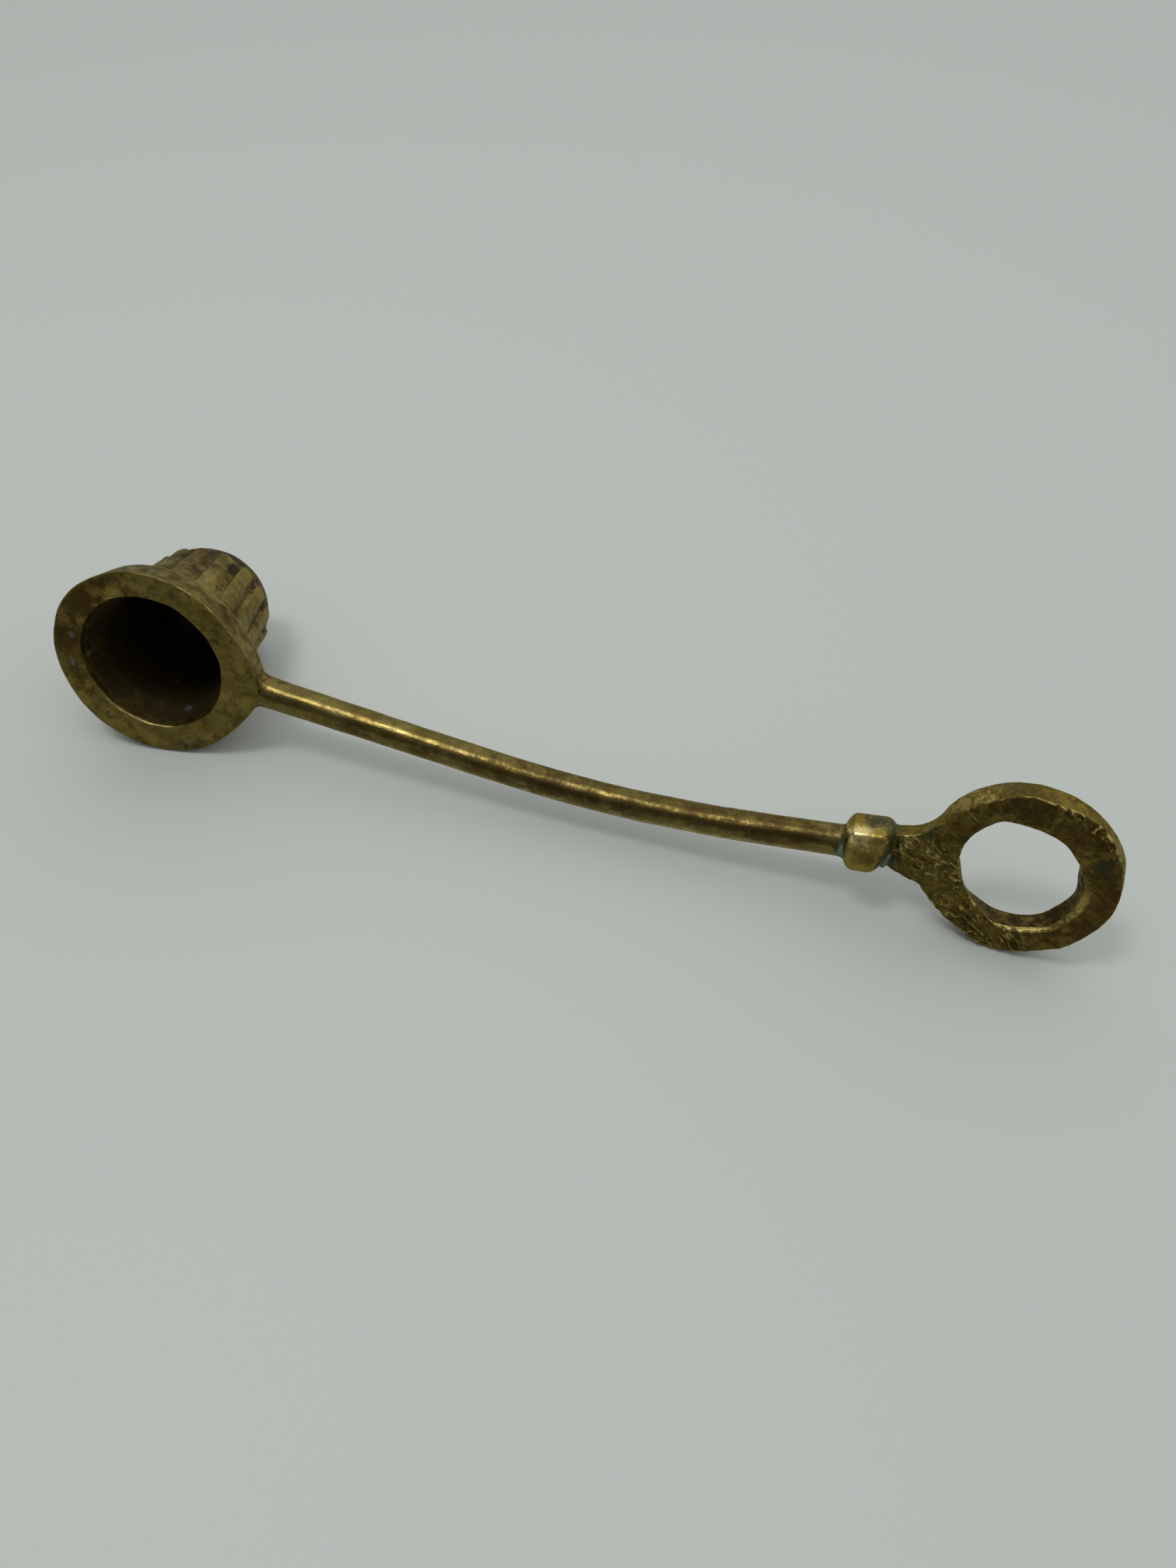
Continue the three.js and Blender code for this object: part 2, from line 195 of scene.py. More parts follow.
def addTube(name, points, marks, brush, material, node):
    # rows of points that run round, closed by a point at each end
    rows, cols = points.shape[:2]
    faces = gridFaces(rows, cols, False)
    first = rows * cols
    last = first - cols
    for step in range(cols):
        after = (step + 1) % cols
        faces.append([first, after, step])
        faces.append([first + 1, last + step, last + after])
    capped = np.vstack([points.reshape(-1, 3), points[0].mean(0), points[-1].mean(0)])
    cappedBrush = np.vstack([brush.reshape(-1, 3), brush[0].mean(0), brush[-1].mean(0)])
    cappedMarks = {}
    for key, values in fillOut(marks, (rows, cols)).items():
        cappedMarks[key] = np.append(values.ravel(), [values[0].mean(), values[-1].mean()])
    addPiece(name, capped, faces, cappedMarks, cappedBrush, material, node)


def addHoop(name, points, marks, brush, material, node):
    # rows of points that run round both ways
    shape = points.shape[:2]
    addPiece(name, points, gridFaces(*shape, True), fillOut(marks, shape), brush, material, node)


def linear(red, green, blue):
    # a colour as seen on screen, 0 to 255, as the values that a shader takes
    share = np.array([red, green, blue]) / 255
    low = share / 12.92
    high = ((share + 0.055) / 1.055) ** 2.4
    return tuple(float(v) for v in np.where(share <= 0.04045, low, high)) + (1.0,)


# Places taken from the frame: the stem's path, the bell's axes and the ring's axes.
finding = {
    "stationGap": 1.0,  # stations along the stem lie further apart than this
    "stationReach": (2.3, 3.3),  # how far a full station's points lie from its middle
    "stationPoints": 16,
    "skin": 2.0,  # points nearer to the middle aren't on the bar's skin
    "crownSkin": 0.05,
    "neckReach": 20.0,  # only the neck lies as far from the middle of the hole
}
stemRaw = nodePoints("stem")
stemRaw = stemRaw[np.argsort(stemRaw[:, 0])]
breaks = np.nonzero(np.diff(stemRaw[:, 0]) > finding["stationGap"])[0] + 1
nearest, farthest = finding["stationReach"]
stemStops = []
for group in np.split(stemRaw, breaks):
    middle = (group.max(0) + group.min(0)) / 2
    reach = np.linalg.norm(group - middle, axis=1).max()
    if nearest < reach < farthest and len(group) >= finding["stationPoints"]:
        skin = group[np.linalg.norm(group - group.mean(0), axis=1) > finding["skin"]]
        stemStops.append(np.append(skin.mean(0), np.linalg.norm(skin - skin.mean(0), axis=1).mean()))
stemMiddles = np.array(stemStops)[:, :3]
stemRadii = np.array(stemStops)[:, 3]

mouthAxis = -unit(np.array(frame["record"]["mounts"][0]["axis"]))
handleSide = acrossFlat(stemMiddles)
handleSide = handleSide * np.sign(handleSide @ mouthAxis)
bellUp = unit(np.cross(handleSide, mouthAxis))
bellUp = bellUp * np.sign(bellUp[2])
bellRight = np.cross(mouthAxis, bellUp)
bellRaw = nodePoints("bell")
bellDeep = bellRaw @ mouthAxis
bellLength = bellDeep.max() - bellDeep.min()
crown = bellRaw[bellDeep > bellDeep.max() - finding["crownSkin"]].mean(0)
mouthMiddle = crown - mouthAxis * bellLength

ringRaw = nodePoints("finger_ring")
hole = [item for item in frame["record"]["physics"]["openings"] if item["name"] == "finger_hole"][0]
ringMiddle = np.array(hole["box_m"]).mean(0) / mm
ringBack = acrossFlat(ringRaw)
ringBack = ringBack * np.sign(ringBack[1])
neckEnd = ringRaw[np.linalg.norm(ringRaw - ringMiddle, axis=1) > finding["neckReach"]].mean(0)
ringAway = ringMiddle - neckEnd
ringAway = unit(ringAway - ringBack * (ringAway @ ringBack))
ringUp = np.cross(ringAway, ringBack)
print("axes found,", len(stemStops), "stops along the stem")


# Materials: one aged-brass builder. Marks painted on each mesh say where its layers lie.
shades = {
    "brown": linear(70, 52, 24),
    "sootAndShade": linear(48, 36, 15),
    "green": linear(34, 48, 26),
    "bloom": linear(104, 134, 120),
    "grey": linear(108, 110, 104),
    "copper": linear(112, 76, 38),
    "speck": linear(50, 40, 18),
}
layers = {  # the mark that each layer follows, and where it starts to show and where it covers
    "tarnish": ("tarnish", 0.1, 0.95),
    "sootAndShade": ("sootAndShade", 0.1, 0.9),
    "bloom": ("bloom", 0.08, 0.62),
    "pale": ("bloom", 0.6, 1.0),
    "grey": ("grey", 0.2, 0.8),
    "copper": ("copper", 0.2, 0.8),
    "wearAndSheen": ("wearAndSheen", 0.25, 0.9),
}
speckSize = 0.6
scoreDepth = 0.0001  # metres
pebbleDepth = 0.00015


def feed(node, values):
    # each input takes a constant or the output of another node
    for key, value in values.items():
        if isinstance(value, bpy.types.NodeSocket):
            node.id_data.links.new(value, node.inputs[key])
        else:
            node.inputs[key].default_value = value


def agedBrass(name, look):
    material = bpy.data.materials.new(name)
    material.use_nodes = True
    nodes = material.node_tree.nodes

    def add(kind, values, output=0, **settings):
        node = nodes.new(kind)
        for key, value in settings.items():
            setattr(node, key, value)
        feed(node, values)
        return node.outputs[output]

    def mark(label, output):
        return add("ShaderNodeAttribute", {}, output, attribute_name=label)

    def cloudy(vector, scale, detail, rough):
        values = {"Vector": vector, "Scale": scale, "Detail": detail, "Roughness": rough}
        return add("ShaderNodeTexNoise", values, "Fac")

    place = add("ShaderNodeTexCoord", {}, "Object")

    def speckle(size, detail, rough, shift):
        # noise in object space, about size millimetres across
        moved = add("ShaderNodeMapping", {"Vector": place, "Location": (shift, shift * 0.7, shift * 0.3)})
        return cloudy(moved, 1000 / size, detail, rough)

    def ramp(source, low, high, lowOut=0.0, highOut=1.0):
        values = {"Value": source, "From Min": low, "From Max": high, "To Min": lowOut, "To Max": highOut}
        return add("ShaderNodeMapRange", values, interpolation_type="SMOOTHSTEP")

    def join(operation, first, second):
        return add("ShaderNodeMath", {0: first, 1: second}, operation=operation, use_clamp=True)

    def part(source, share):
        return join("MULTIPLY", source, share)

    def blend(under, over, share):
        return add("ShaderNodeMix", {6: under, 7: over, 0: share}, 2, data_type="RGBA")

    def slide(under, over, share):
        return add("ShaderNodeMix", {2: under, 3: over, 0: share}, data_type="FLOAT")

    broad = speckle(look["mottle"], 5, 0.6, 0.11)
    patchwork = speckle(look["mottle"] * 0.7, 4, 0.6, 0.53)
    middle = speckle(look["mottle"] * 0.3, 6, 0.65, 0.37)
    fine = speckle(speckSize, 4, 0.65, 0.73)

    # scratches run along the brush mark's first axis
    brushed = mark("brush", "Vector")
    stretched = add("ShaderNodeMapping", {"Vector": brushed, "Scale": (0.12, look["strokes"], 0.4)})
    stroke = cloudy(stretched, 1.0, 4, 0.65)

    colour = blend(look["dark"], look["light"], ramp(broad, 0.34, 0.66))
    colour = blend(colour, look["olive"], ramp(patchwork, 0.44, 0.66, 0.0, look["greenish"]))
    colour = blend(colour, look["dull"], ramp(middle, 0.42, 0.72, 0.0, look["patchy"]))
    colour = blend(colour, shades["speck"], ramp(fine, 0.56, 0.72, 0.0, look["specked"]))
    colour = blend(colour, look["bright"], ramp(stroke, 0.56, 0.78, 0.0, look["streaky"]))

    # each mark is broken up by the speckles, so that its edge is ragged
    ragged = ramp(middle, 0.3, 0.7, -0.22, 0.22)
    flecked = ramp(fine, 0.35, 0.65, -0.12, 0.12)
    uneven = add("ShaderNodeMath", {0: ragged, 1: flecked}, operation="ADD")

    def patch(label, low, high):
        painted = mark(label, "Fac")
        values = {0: part(painted, 4.0), 1: uneven, 2: painted}
        return ramp(add("ShaderNodeMath", values, operation="MULTIPLY_ADD"), low, high)

    shown = {layer: patch(*values) for layer, values in layers.items()}
    colour = blend(colour, shades["brown"], part(shown["tarnish"], look["brownest"]))
    # the soot layer also paints shade, and the wear layer also paints highlights, where a mesh marks them
    sootAndShadeColour = blend(shades["sootAndShade"], look["dull"], ramp(stroke, 0.5, 0.75, 0.0, 0.6))
    colour = blend(colour, sootAndShadeColour, shown["sootAndShade"])
    colour = blend(colour, look["bright"], part(shown["wearAndSheen"], 0.8))
    colour = blend(colour, shades["copper"], part(shown["copper"], 0.7))
    green = blend(shades["green"], shades["bloom"], shown["pale"])
    colour = blend(colour, green, part(shown["bloom"], 0.85))
    colour = blend(colour, shades["grey"], part(shown["grey"], 0.6))

    dullness = join("ADD", part(shown["tarnish"], 0.14), part(shown["sootAndShade"], 0.22))
    matt = join("ADD", ramp(middle, 0.35, 0.65, look["smooth"], look["matt"]), dullness)
    matt = slide(matt, 0.25, part(shown["wearAndSheen"], 0.5))
    crust = join("MAXIMUM", part(shown["bloom"], 0.85), part(shown["grey"], 0.8))
    matt = slide(matt, 0.75, crust)
    metal = slide(1.0, 0.6, shown["sootAndShade"])
    metal = slide(metal, 0.1, crust)
    lift = {"Strength": look["scored"], "Distance": scoreDepth, "Height": stroke}
    pebble = {"Strength": look["pebbled"], "Distance": pebbleDepth, "Height": fine}
    pebble["Normal"] = add("ShaderNodeBump", lift)
    feed(nodes["Principled BSDF"], {
        "Base Color": colour, "Roughness": matt, "Metallic": metal, "Normal": add("ShaderNodeBump", pebble),
        "Coat Weight": look["lacquer"], "Coat Roughness": 0.2, "Specular Tint": look["edgeTint"],
    })
    return material


# Bell: one casting, revolved in rows from the inside floor over the lip and flange to the crown.
bell = {
    "mouth": 14.4,
    "lip": 0.4,
    "flange": 20.0,
    "flangeBack": 18.8,
    "flangeDeep": 6.5,
    "edgeRound": 0.26,
    "rearRound": 0.45,
    "rootRound": 1.8,
    "throat": 12.7,
    "insideShoulder": 10.6,
    "wall": 2.1,
    "shoulder": 26.0,
    "crownEdge": 9.0,
    "crownRise": 0.5,
    "crownThick": 3.2,
    "stemAngle": -10.2,
    "bossRise": 2.0,
    "bossWide": 7.0,
    "ribs": 16,
    "ribSeed": 41,
    "ribRise": 0.54,
    "ribTwist": 0.26,
    "ribStart": -1.6,
    "ribHalf": 1.42,
    "ribSlope": 3.0,
    "ribTip": 28.7,
    "turns": 400,
    "brushGirth": 14,
    "lumps": [(5.0, 1, 0.08), (2.2, 2, 0.045), (0.9, 3, 0.018)],
    "look": {
        "dark": linear(104, 88, 42), "light": linear(138, 120, 62), "olive": linear(98, 91, 46),
        "dull": linear(76, 66, 32), "bright": linear(182, 164, 106),
        "mottle": 8.0, "greenish": 0.6, "patchy": 0.75, "specked": 0.6, "streaky": 0.12, "strokes": 2.0,
        "brownest": 0.85, "smooth": 0.3, "matt": 0.5, "scored": 0.25, "pebbled": 0.3, "lacquer": 0.0,
        "edgeTint": (0.92, 0.88, 0.74, 1.0),
    },
    "spots": {  # a girth, then places: on the face with a radius, elsewhere with a depth
        "pits": (18, [(-20, 17.9, 0.5, 1), (-13, 18.8, 0.35, 0.8), (-27, 18.6, 0.3, 0.7),
                      (-8, 17.2, 0.3, 0.6), (36, 16.8, 0.25, 0.6), (141, 17.6, 0.3, 0.7),
                      (-58, 18.9, 0.4, 0.6), (-146, 18.4, 0.3, 0.6), (-33, 19.6, 0.5, 0.7)]),
        "brownFace": (17, [(137, 16.9, 2.8, 0.55), (168, 18.0, 2.6, 0.5), (118, 18.4, 1.8, 0.4),
                           (-62, 18.8, 1.4, 0.35), (40, 15.6, 1.2, 0.5), (28, 15.8, 1.0, 0.4),
                           (100, 16.2, 1.0, 0.4), (78, 17.6, 0.9, 0.4), (-168, 17.2, 2.2, 0.35)]),
        "brownSide": (19, [(38, 3.4, 2.4, 0.6), (104, 3.2, 3.0, 0.3), (24, 4, 1.6, 0.4)]),
        "brownCup": (13, [(92, 25, 4.0, 0.5), (96, 15, 2.0, 0.5), (68, 21.5, 1.0, 0.5), (88, 21, 1.2, 0.6),
                          (118, 17, 2.0, 0.6), (12, 20, 2.2, 0.4)]),
        "sootCup": (13, [(57.2, 24.8, 1.6, 0.85), (78.5, 17.5, 1.9, 0.8), (28, 14.6, 1.2, 0.8),
                         (107.8, 23.1, 2.2, 0.6), (67.7, 21.8, 1.4, 0.6), (46, 11.5, 0.9, 0.5),
                         (88, 19.5, 1.6, 0.4)]),
        "bloomFace": (18, [(-74.7, 18.9, 2.3, 0.42), (-63.7, 18.8, 1.8, 0.36), (52, 16.2, 1.6, 0.26),
                           (66, 17.8, 1.2, 0.24), (100, 17.5, 1.6, 0.2), (20, 15.8, 1.4, 0.2)]),
        "bloomSide": (19, [(97, 4.6, 1.6, 0.3), (84, 4.2, 1.4, 0.32)]),
        "bloomCup": (12, [(84.7, 30.6, 1.1, 0.75), (70, 31.3, 0.9, 0.5), (67.7, 21.8, 1.3, 0.3),
                          (74, 29.5, 1.4, 0.3)]),
        "greyFace": (16, [(163.5, 16.3, 0.9, 0.5), (-173.8, 16.8, 0.9, 0.5), (-146, 16.8, 0.6, 0.35)]),
        "greySide": (19, [(94, 2.4, 1.8, 0.18), (108, 2.4, 1.4, 0.18)]),
        "greyInside": (13, [(-178.5, 1.5, 0.9, 0.55), (-102.6, 13.7, 0.9, 0.35), (-74.4, 5.4, 1.0, 0.45)]),
        "copperFace": (16, [(95.6, 16.0, 0.7, 0.5), (84.7, 15.9, 0.5, 0.45)]),
        "copperInside": (13, [(-153, 1.2, 2.4, 0.4), (178, 4.0, 2.4, 0.4), (-140, 7, 3, 0.25)]),
        "copperCup": (13, [(83.2, 25.2, 3.0, 0.46), (40, 13, 2.0, 0.25)]),
    },
}


def spread(first, last, count):
    steps = shares(count)[:, None]
    return np.array(first) * (1 - steps) + np.array(last) * steps


def roundOff(start, corner, stop, count):
    return bowed(start, corner, stop, shares(count)[:, None])


def bellProfile(form):
    # rows of radius and depth, with the name of the surface that each row lies on
    mouth, lip, flange, back = form["mouth"], form["lip"], form["flange"], form["flangeBack"]
    deep, shoulder, throat = form["flangeDeep"], form["shoulder"], form["throat"]
    edge, rear, fillet = form["edgeRound"], form["rearRound"], form["rootRound"]
    insideWide, crownEdge = form["insideShoulder"], form["crownEdge"]
    floor = bellLength - form["crownThick"]
    top = bellLength - form["crownRise"]
    root = throat + form["wall"]
    turn = quarterTurn(26, 3)
    hollow = np.stack([insideWide * np.sin(turn), shoulder + (floor - shoulder) * np.cos(turn)], 1)
    cupDeep = np.linspace(deep + fillet, shoulder, 96, endpoint=False)
    share = (cupDeep - deep) / (shoulder - deep)
    cupWide = throat + (insideWide - throat) * share + form["wall"]
    turn = quarterTurn(46)
    outsideWide = insideWide + form["wall"]
    bend = np.stack([crownEdge + (outsideWide - crownEdge) * np.cos(turn),
                     shoulder + (top - shoulder) * np.sin(turn)], 1)
    dome = np.linspace(crownEdge, 0.25, 24)
    domeDeep = top + form["crownRise"] * (1 - (dome / crownEdge) ** 2)

    # where the stretches meet, each as a radius and a depth
    shoulderIn, throatIn = (insideWide, shoulder), (throat, deep)
    lipIn, lipOut = (mouth - 0.12, lip + 0.1), (mouth + lip, 0)
    faceEnd, sideStart = (flange - edge, 0), (flange - 0.04, edge)
    sideEnd, backStart = (back + 0.09, deep - rear), (back - 0.5, deep)
    backEnd, cupStart = (root + 1.7, deep), (root - 0.2, deep + fillet)
    stretches = [
        ("inside", hollow),
        ("inside", spread(shoulderIn, throatIn, 60)),
        ("inside", spread(throatIn, lipIn, 26)),
        ("lip", roundOff(lipIn, (mouth, 0), lipOut, 10)),
        ("face", spread(lipOut, faceEnd, 40)),
        ("edge", roundOff(faceEnd, (flange, 0), sideStart, 10)),
        ("side", spread(sideStart, sideEnd, 30)),
        ("rearEdge", roundOff(sideEnd, (back, deep), backStart, 10)),
        ("back", spread(backStart, backEnd, 9)),
        ("cup", roundOff(backEnd, (root - 0.1, deep), cupStart, 12)),
        ("cup", np.stack([cupWide, cupDeep], 1)),
        ("cup", bend),
        ("cup", np.stack([dome, domeDeep], 1)),
    ]
    names = np.concatenate([[name] * len(rows) for name, rows in stretches])
    return np.concatenate([rows for name, rows in stretches]), names


def ribRelief(form, angle, depth, radius):
    # tongues along the cup, round at the tip, with a crisp step on one side and a long slope on the other
    pitch = 360 / form["ribs"]
    turned = angle - form["ribStart"] - form["ribTwist"] * (depth - 24)
    index = np.round(turned / pitch)
    dice = np.random.default_rng(form["ribSeed"])
    swing = dice.uniform(-1, 1, (form["ribs"], 4))[index.astype(int) % form["ribs"]]
    aside = np.radians(turned - index * pitch - 0.8 * swing[..., 0]) * radius
    half = form["ribHalf"] + 0.1 * swing[..., 1]
    nearTip = ease(depth, 16, 26)
    slope = form["ribSlope"] - 1.2 * nearTip
    pastTip = np.maximum(0, depth - (form["ribTip"] - half + 0.4 * swing[..., 2])) / half
    reach = np.hypot(np.where(aside > 0, aside / half, -aside / slope), pastTip)
    crisp = 1 - ease(reach, 0.78, 1.22)
    soft = 1 - np.clip((reach - 0.25 - 0.45 * nearTip) / (0.8 - 0.3 * nearTip), 0, 1) ** 1.5
    mask = np.where(aside > 0, crisp, soft)
    rise = form["ribRise"] * (1 + 0.12 * swing[..., 3]) * (1 + 0.3 * ease(depth, 20, 27)) * mask
    groove = 0.16 * hump(aside, half + 0.45, 0.26) * (1 - ease(depth, 24, 26.5))
    return rise - groove, mask


def bellBoss(form, angle):
    # the swelling of the flange where the stem is set
    aside = np.radians(turnGap(angle, form["stemAngle"])) * form["flange"]
    return form["bossRise"] * hump(aside, 0, form["bossWide"])


def bellEdge(form, angle, depth):
    # radius of the flange's edge at an angle and depth, with the boss
    plain = form["flange"] + (form["flangeBack"] - form["flange"]) * depth / form["flangeDeep"]
    return plain + bellBoss(form, angle)


def bellShape(form):
    profile, names = bellProfile(form)
    plainRadius, plainDepth = profile[:, :1], profile[:, 1:]
    angle = fullTurn(form["turns"], -180)[None, :]
    on = masks(names)
    mouth, lip, deep = form["mouth"], form["lip"], form["flangeDeep"]

    # the flange's edge wanders, and the mouth is a little oval
    wander = -0.28 * turnHump(angle, 78, 42) + 0.1 * turnHump(angle, -112, 28)
    wander = wander + 0.07 * wave(angle, 5, 40) + 0.05 * wave(angle, 9, -70)
    outer = on["edge"] | on["side"] | on["rearEdge"]
    inFace = ease(plainRadius, mouth + lip, form["flange"]) * on["face"]
    inBack = ease(plainRadius, form["throat"] + form["wall"] + 1.5, form["flangeBack"]) * on["back"]
    radius = plainRadius + (outer + inFace + inBack) * (bellBoss(form, angle) + wander)
    nearLip = on["lip"] + on["face"] * (1 - ease(plainRadius, mouth, mouth + 3))
    nearLip = nearLip + on["inside"] * (1 - ease(plainDepth, 0.5, 7))
    oval = 0.26 * turnHump(angle, 110, 60) - 0.2 * turnHump(angle, -40, 50)
    oval = oval + 0.06 * wave(angle, 7) + 0.04 * wave(angle, 13)
    radius = radius + nearLip * oval
    ribs, ribMask = ribRelief(form, angle, plainDepth, plainRadius)
    onRibs = on["cup"] * ease(plainDepth, deep + 0.2, deep + 1.6)
    radius = radius + onRibs * ribs * (1 - ease(plainDepth, 30, 31.5))
    depth = plainDepth + 0 * angle
    turned = np.radians(angle)
    local = wrapped(turned, radius, depth)

    # unevenness of the casting
    lumps = lumpy(local, form["lumps"])
    roll = np.clip(0.5 + grain(local, 2.4, 5), 0, 1)
    flat = on["face"] | on["back"]
    radialWay = np.where(flat, 0.0, np.where(on["inside"] | on["lip"], -0.7, 1.0))
    depthWay = np.where(on["face"] | on["lip"] | on["edge"], -0.8, np.where(on["back"], 1.0, 0.0))
    pits = spots(angle, radius, *form["spots"]["pits"])
    burr = 0.16 * turnHump(angle, 42, 40) * on["edge"] * roll
    depth = depth + depthWay * lumps + 0.22 * pits * on["face"] - burr
    radius = radius + radialWay * lumps - 0.35 * pits * on["edge"]
    return on, angle, radius, depth, wrapped(turned, radius, depth), ribMask


def bellMarks(form, on, angle, radius, depth, local, ribMask):
    spot = form["spots"]
    cloud = grain(local, 6.0, 7)
    small = grain(local, 1.8, 8)
    face = on["face"] | on["lip"]
    side = on["side"]
    cup = on["cup"] * 1.0
    inside = on["inside"] * ease(depth, 0.3, 2.5)
    recess = (1 - ribMask) * ease(depth, 9, 12)
    between = (1 - ribMask) * ease(depth, 21, 27)
    shoulder = ease(depth, form["ribTip"] - 1.5, form["ribTip"] + 0.8)
    litLowRight = turnHump(angle, -58, 48) * (1 - ease(depth, 9, 24))

    brown = spots(angle, radius, *spot["brownFace"])
    tarnish = face * (0.54 * turnHump(angle, 160, 62) + 0.12 + brown)
    brown = spots(angle, depth, *spot["brownCup"])
    tarnish = tarnish + cup * (0.2 + 0.2 * recess + 0.2 * shoulder + brown + 0.2 * turnHump(angle, 92, 24))
    tarnish = tarnish + 0.24 * side + 0.5 * on["back"] + 0.3 * cloud + 0.14 * small
    tarnish = tarnish + side * spots(angle, depth, *spot["brownSide"])

    deepSoot = 0.62 + 0.35 * ease(depth, 3, 20) + 0.14 * cloud + 0.1 * litLowRight
    sootAndShade = inside * (deepSoot + 0.3 * turnHump(angle, 180, 50)) + cup * spots(angle, depth, *spot["sootCup"])
    # painted shade: dark between the tongues' tips, and a dark line along the tongues' edges in the recesses
    sootAndShade = sootAndShade + 0.62 * cup * between + 0.22 * cup * hump(ribMask, 0.5, 0.25) * recess

    wearAndSheen = on["edge"] * (0.55 * turnHump(angle, 55, 34) + 0.08 + 0.4 * small)
    wearAndSheen = wearAndSheen + on["rearEdge"] * (0.5 + 0.3 * small)
    # the lip's lower left is painted bright: partly wear, partly painted highlight where the round lip
    # catches the light
    wearAndSheen = wearAndSheen + on["lip"] * (0.1 + 0.5 * turnHump(angle, -115, 40))
    wearAndSheen = wearAndSheen + 0.14 * face * turnHump(angle, -55, 55)
    wearAndSheen = wearAndSheen + cup * ribMask * (0.3 + 0.25 * small)

    bloom = face * spots(angle, radius, *spot["bloomFace"]) + cup * spots(angle, depth, *spot["bloomCup"])
    bloom = bloom + side * spots(angle, depth, *spot["bloomSide"])
    grey = face * spots(angle, radius, *spot["greyFace"]) + inside * spots(angle, depth, *spot["greyInside"])
    # painted light: a pale grey crust lightens the lit lower right of the inside
    grey = grey + side * spots(angle, depth, *spot["greySide"]) + 0.16 * inside * litLowRight
    copper = face * spots(angle, radius, *spot["copperFace"])
    copper = copper + inside * spots(angle, depth, *spot["copperInside"])
    copper = copper + cup * spots(angle, depth, *spot["copperCup"])
    return {"tarnish": tarnish, "sootAndShade": sootAndShade, "wearAndSheen": wearAndSheen, "bloom": bloom, "grey": grey, "copper": copper}


def bellBrush(form, on, angle, radius, depth):
    # scratches run round the flange, slanting inside the cup and along its outside
    arc = np.radians(angle) * form["brushGirth"]
    slant = np.where(on["inside"], 0.8, 0.0)
    brush = np.stack([arc + slant * depth, radius + depth - slant * arc, 0 * depth], -1)
    return np.where(on["cup"][..., None], np.stack([depth, arc + 0 * depth, radius], -1), brush)


def toBell(local):
    return placed(local, mouthMiddle, bellRight, mouthAxis, bellUp)


on, angle, radius, depth, local, ribMask = bellShape(bell)
marks = bellMarks(bell, on, angle, radius, depth, local, ribMask)
brush = bellBrush(bell, on, angle, radius, depth)
bellBrass = agedBrass("bellBrass", bell["look"])
addTube("bellCasting", insideBox(toBell(local)), marks, brush, bellBrass, "bell")
print("bell made")


# Stem: a drawn bar along the node's own path, slightly uneven.
stem = {
    "stations": 460,
    "sides": 64,
    "intoFlange": 2.6,
    "intoCollar": 3.0,
    "drop": 0.42,
    "swell": 0.15,
    "girth": 2.7,
    "soften": 4,  # the path is averaged over this length to each side
    "look": {
        "dark": linear(102, 86, 40), "light": linear(130, 115, 66), "olive": linear(98, 90, 46),
        "dull": linear(80, 66, 30), "bright": linear(186, 171, 124),
        "mottle": 7.0, "greenish": 0.55, "patchy": 0.7, "specked": 0.5, "streaky": 0.3, "strokes": 2.6,
        "brownest": 0.85, "smooth": 0.16, "matt": 0.28, "scored": 0.4, "pebbled": 0.22, "lacquer": 0.08,
        "edgeTint": (0.88, 0.8, 0.58, 1.0),
    },
    "blots": [(350, 4.6, 1.0, 0.8), (100, 21.7, 2.2, 0.8), (120, 17, 1.6, 0.5), (100, 36, 1.8, 0.7),
              (70, 29, 1.0, 0.5), (85, 47, 1.5, 0.5), (100, 53, 1.6, 0.6), (75, 62.6, 1.8, 0.55),
              (130, 59, 3.0, 0.6), (95, 70, 2.0, 0.45), (95, 78, 2.0, 0.5), (40, 90, 1.2, 0.5),
              (100, 104, 2.4, 0.6), (60, 111, 1.6, 0.5), (60, 2, 1.6, 0.4)],
    "blotStretch": 0.55,
}
runs = np.concatenate([[0], np.cumsum(np.linalg.norm(np.diff(stemMiddles, axis=0), axis=1))])
startWay = unit(stemMiddles[1] - stemMiddles[0])
endWay = unit(stemMiddles[-1] - stemMiddles[-2])


def stemPoint(run):
    # centre of the bar at a distance along it, carried straight on past both ends
    inner = np.clip(run, 0, runs[-1])
    middle = np.stack([np.interp(inner, runs, stemMiddles[:, axis]) for axis in range(3)], -1)
    before = np.minimum(run, 0)[..., None] * startWay
    after = np.maximum(run - runs[-1], 0)[..., None] * endWay
    return middle + before + after


def smoothPoint(run):
    soft = stem["soften"]
    return np.mean([stemPoint(run + shift) for shift in np.linspace(-soft, soft, 9)], axis=0)


def aroundStem(run, angle, radius, drop=0.0):
    # angle 0 is up and 90 is the side of the mouth
    middle = smoothPoint(run)
    way = smoothPoint(run + 0.5) - smoothPoint(run - 0.5)
    way = way / np.linalg.norm(way, axis=-1, keepdims=True)
    up = np.cross(way, handleSide)
    turn = np.radians(angle)[..., None]
    return middle - drop * up + radius[..., None] * (np.cos(turn) * up - np.sin(turn) * handleSide)


def stemRadius(run):
    return np.interp(run, runs, stemRadii) + stem["swell"]


# where the bar's axis meets the edge of the flange, and where the collar lies along it
probe = np.linspace(-14, 6, 801)
aside = smoothPoint(probe) - mouthMiddle
reach = np.hypot(aside @ bellRight, aside @ bellUp)
turned = np.degrees(np.arctan2(aside @ bellUp, aside @ bellRight))
atFlange = float(probe[np.argmin(np.abs(reach - bellEdge(bell, turned, aside @ mouthAxis)))])
collarReach = (nodePoints("collar") - stemMiddles[-1]) @ endWay
collarFrom = runs[-1] + collarReach.min()
collarLong = collarReach.max() - collarReach.min()
print("stem from", round(atFlange, 2), "collar from", round(collarFrom, 2), "long", round(collarLong, 2))

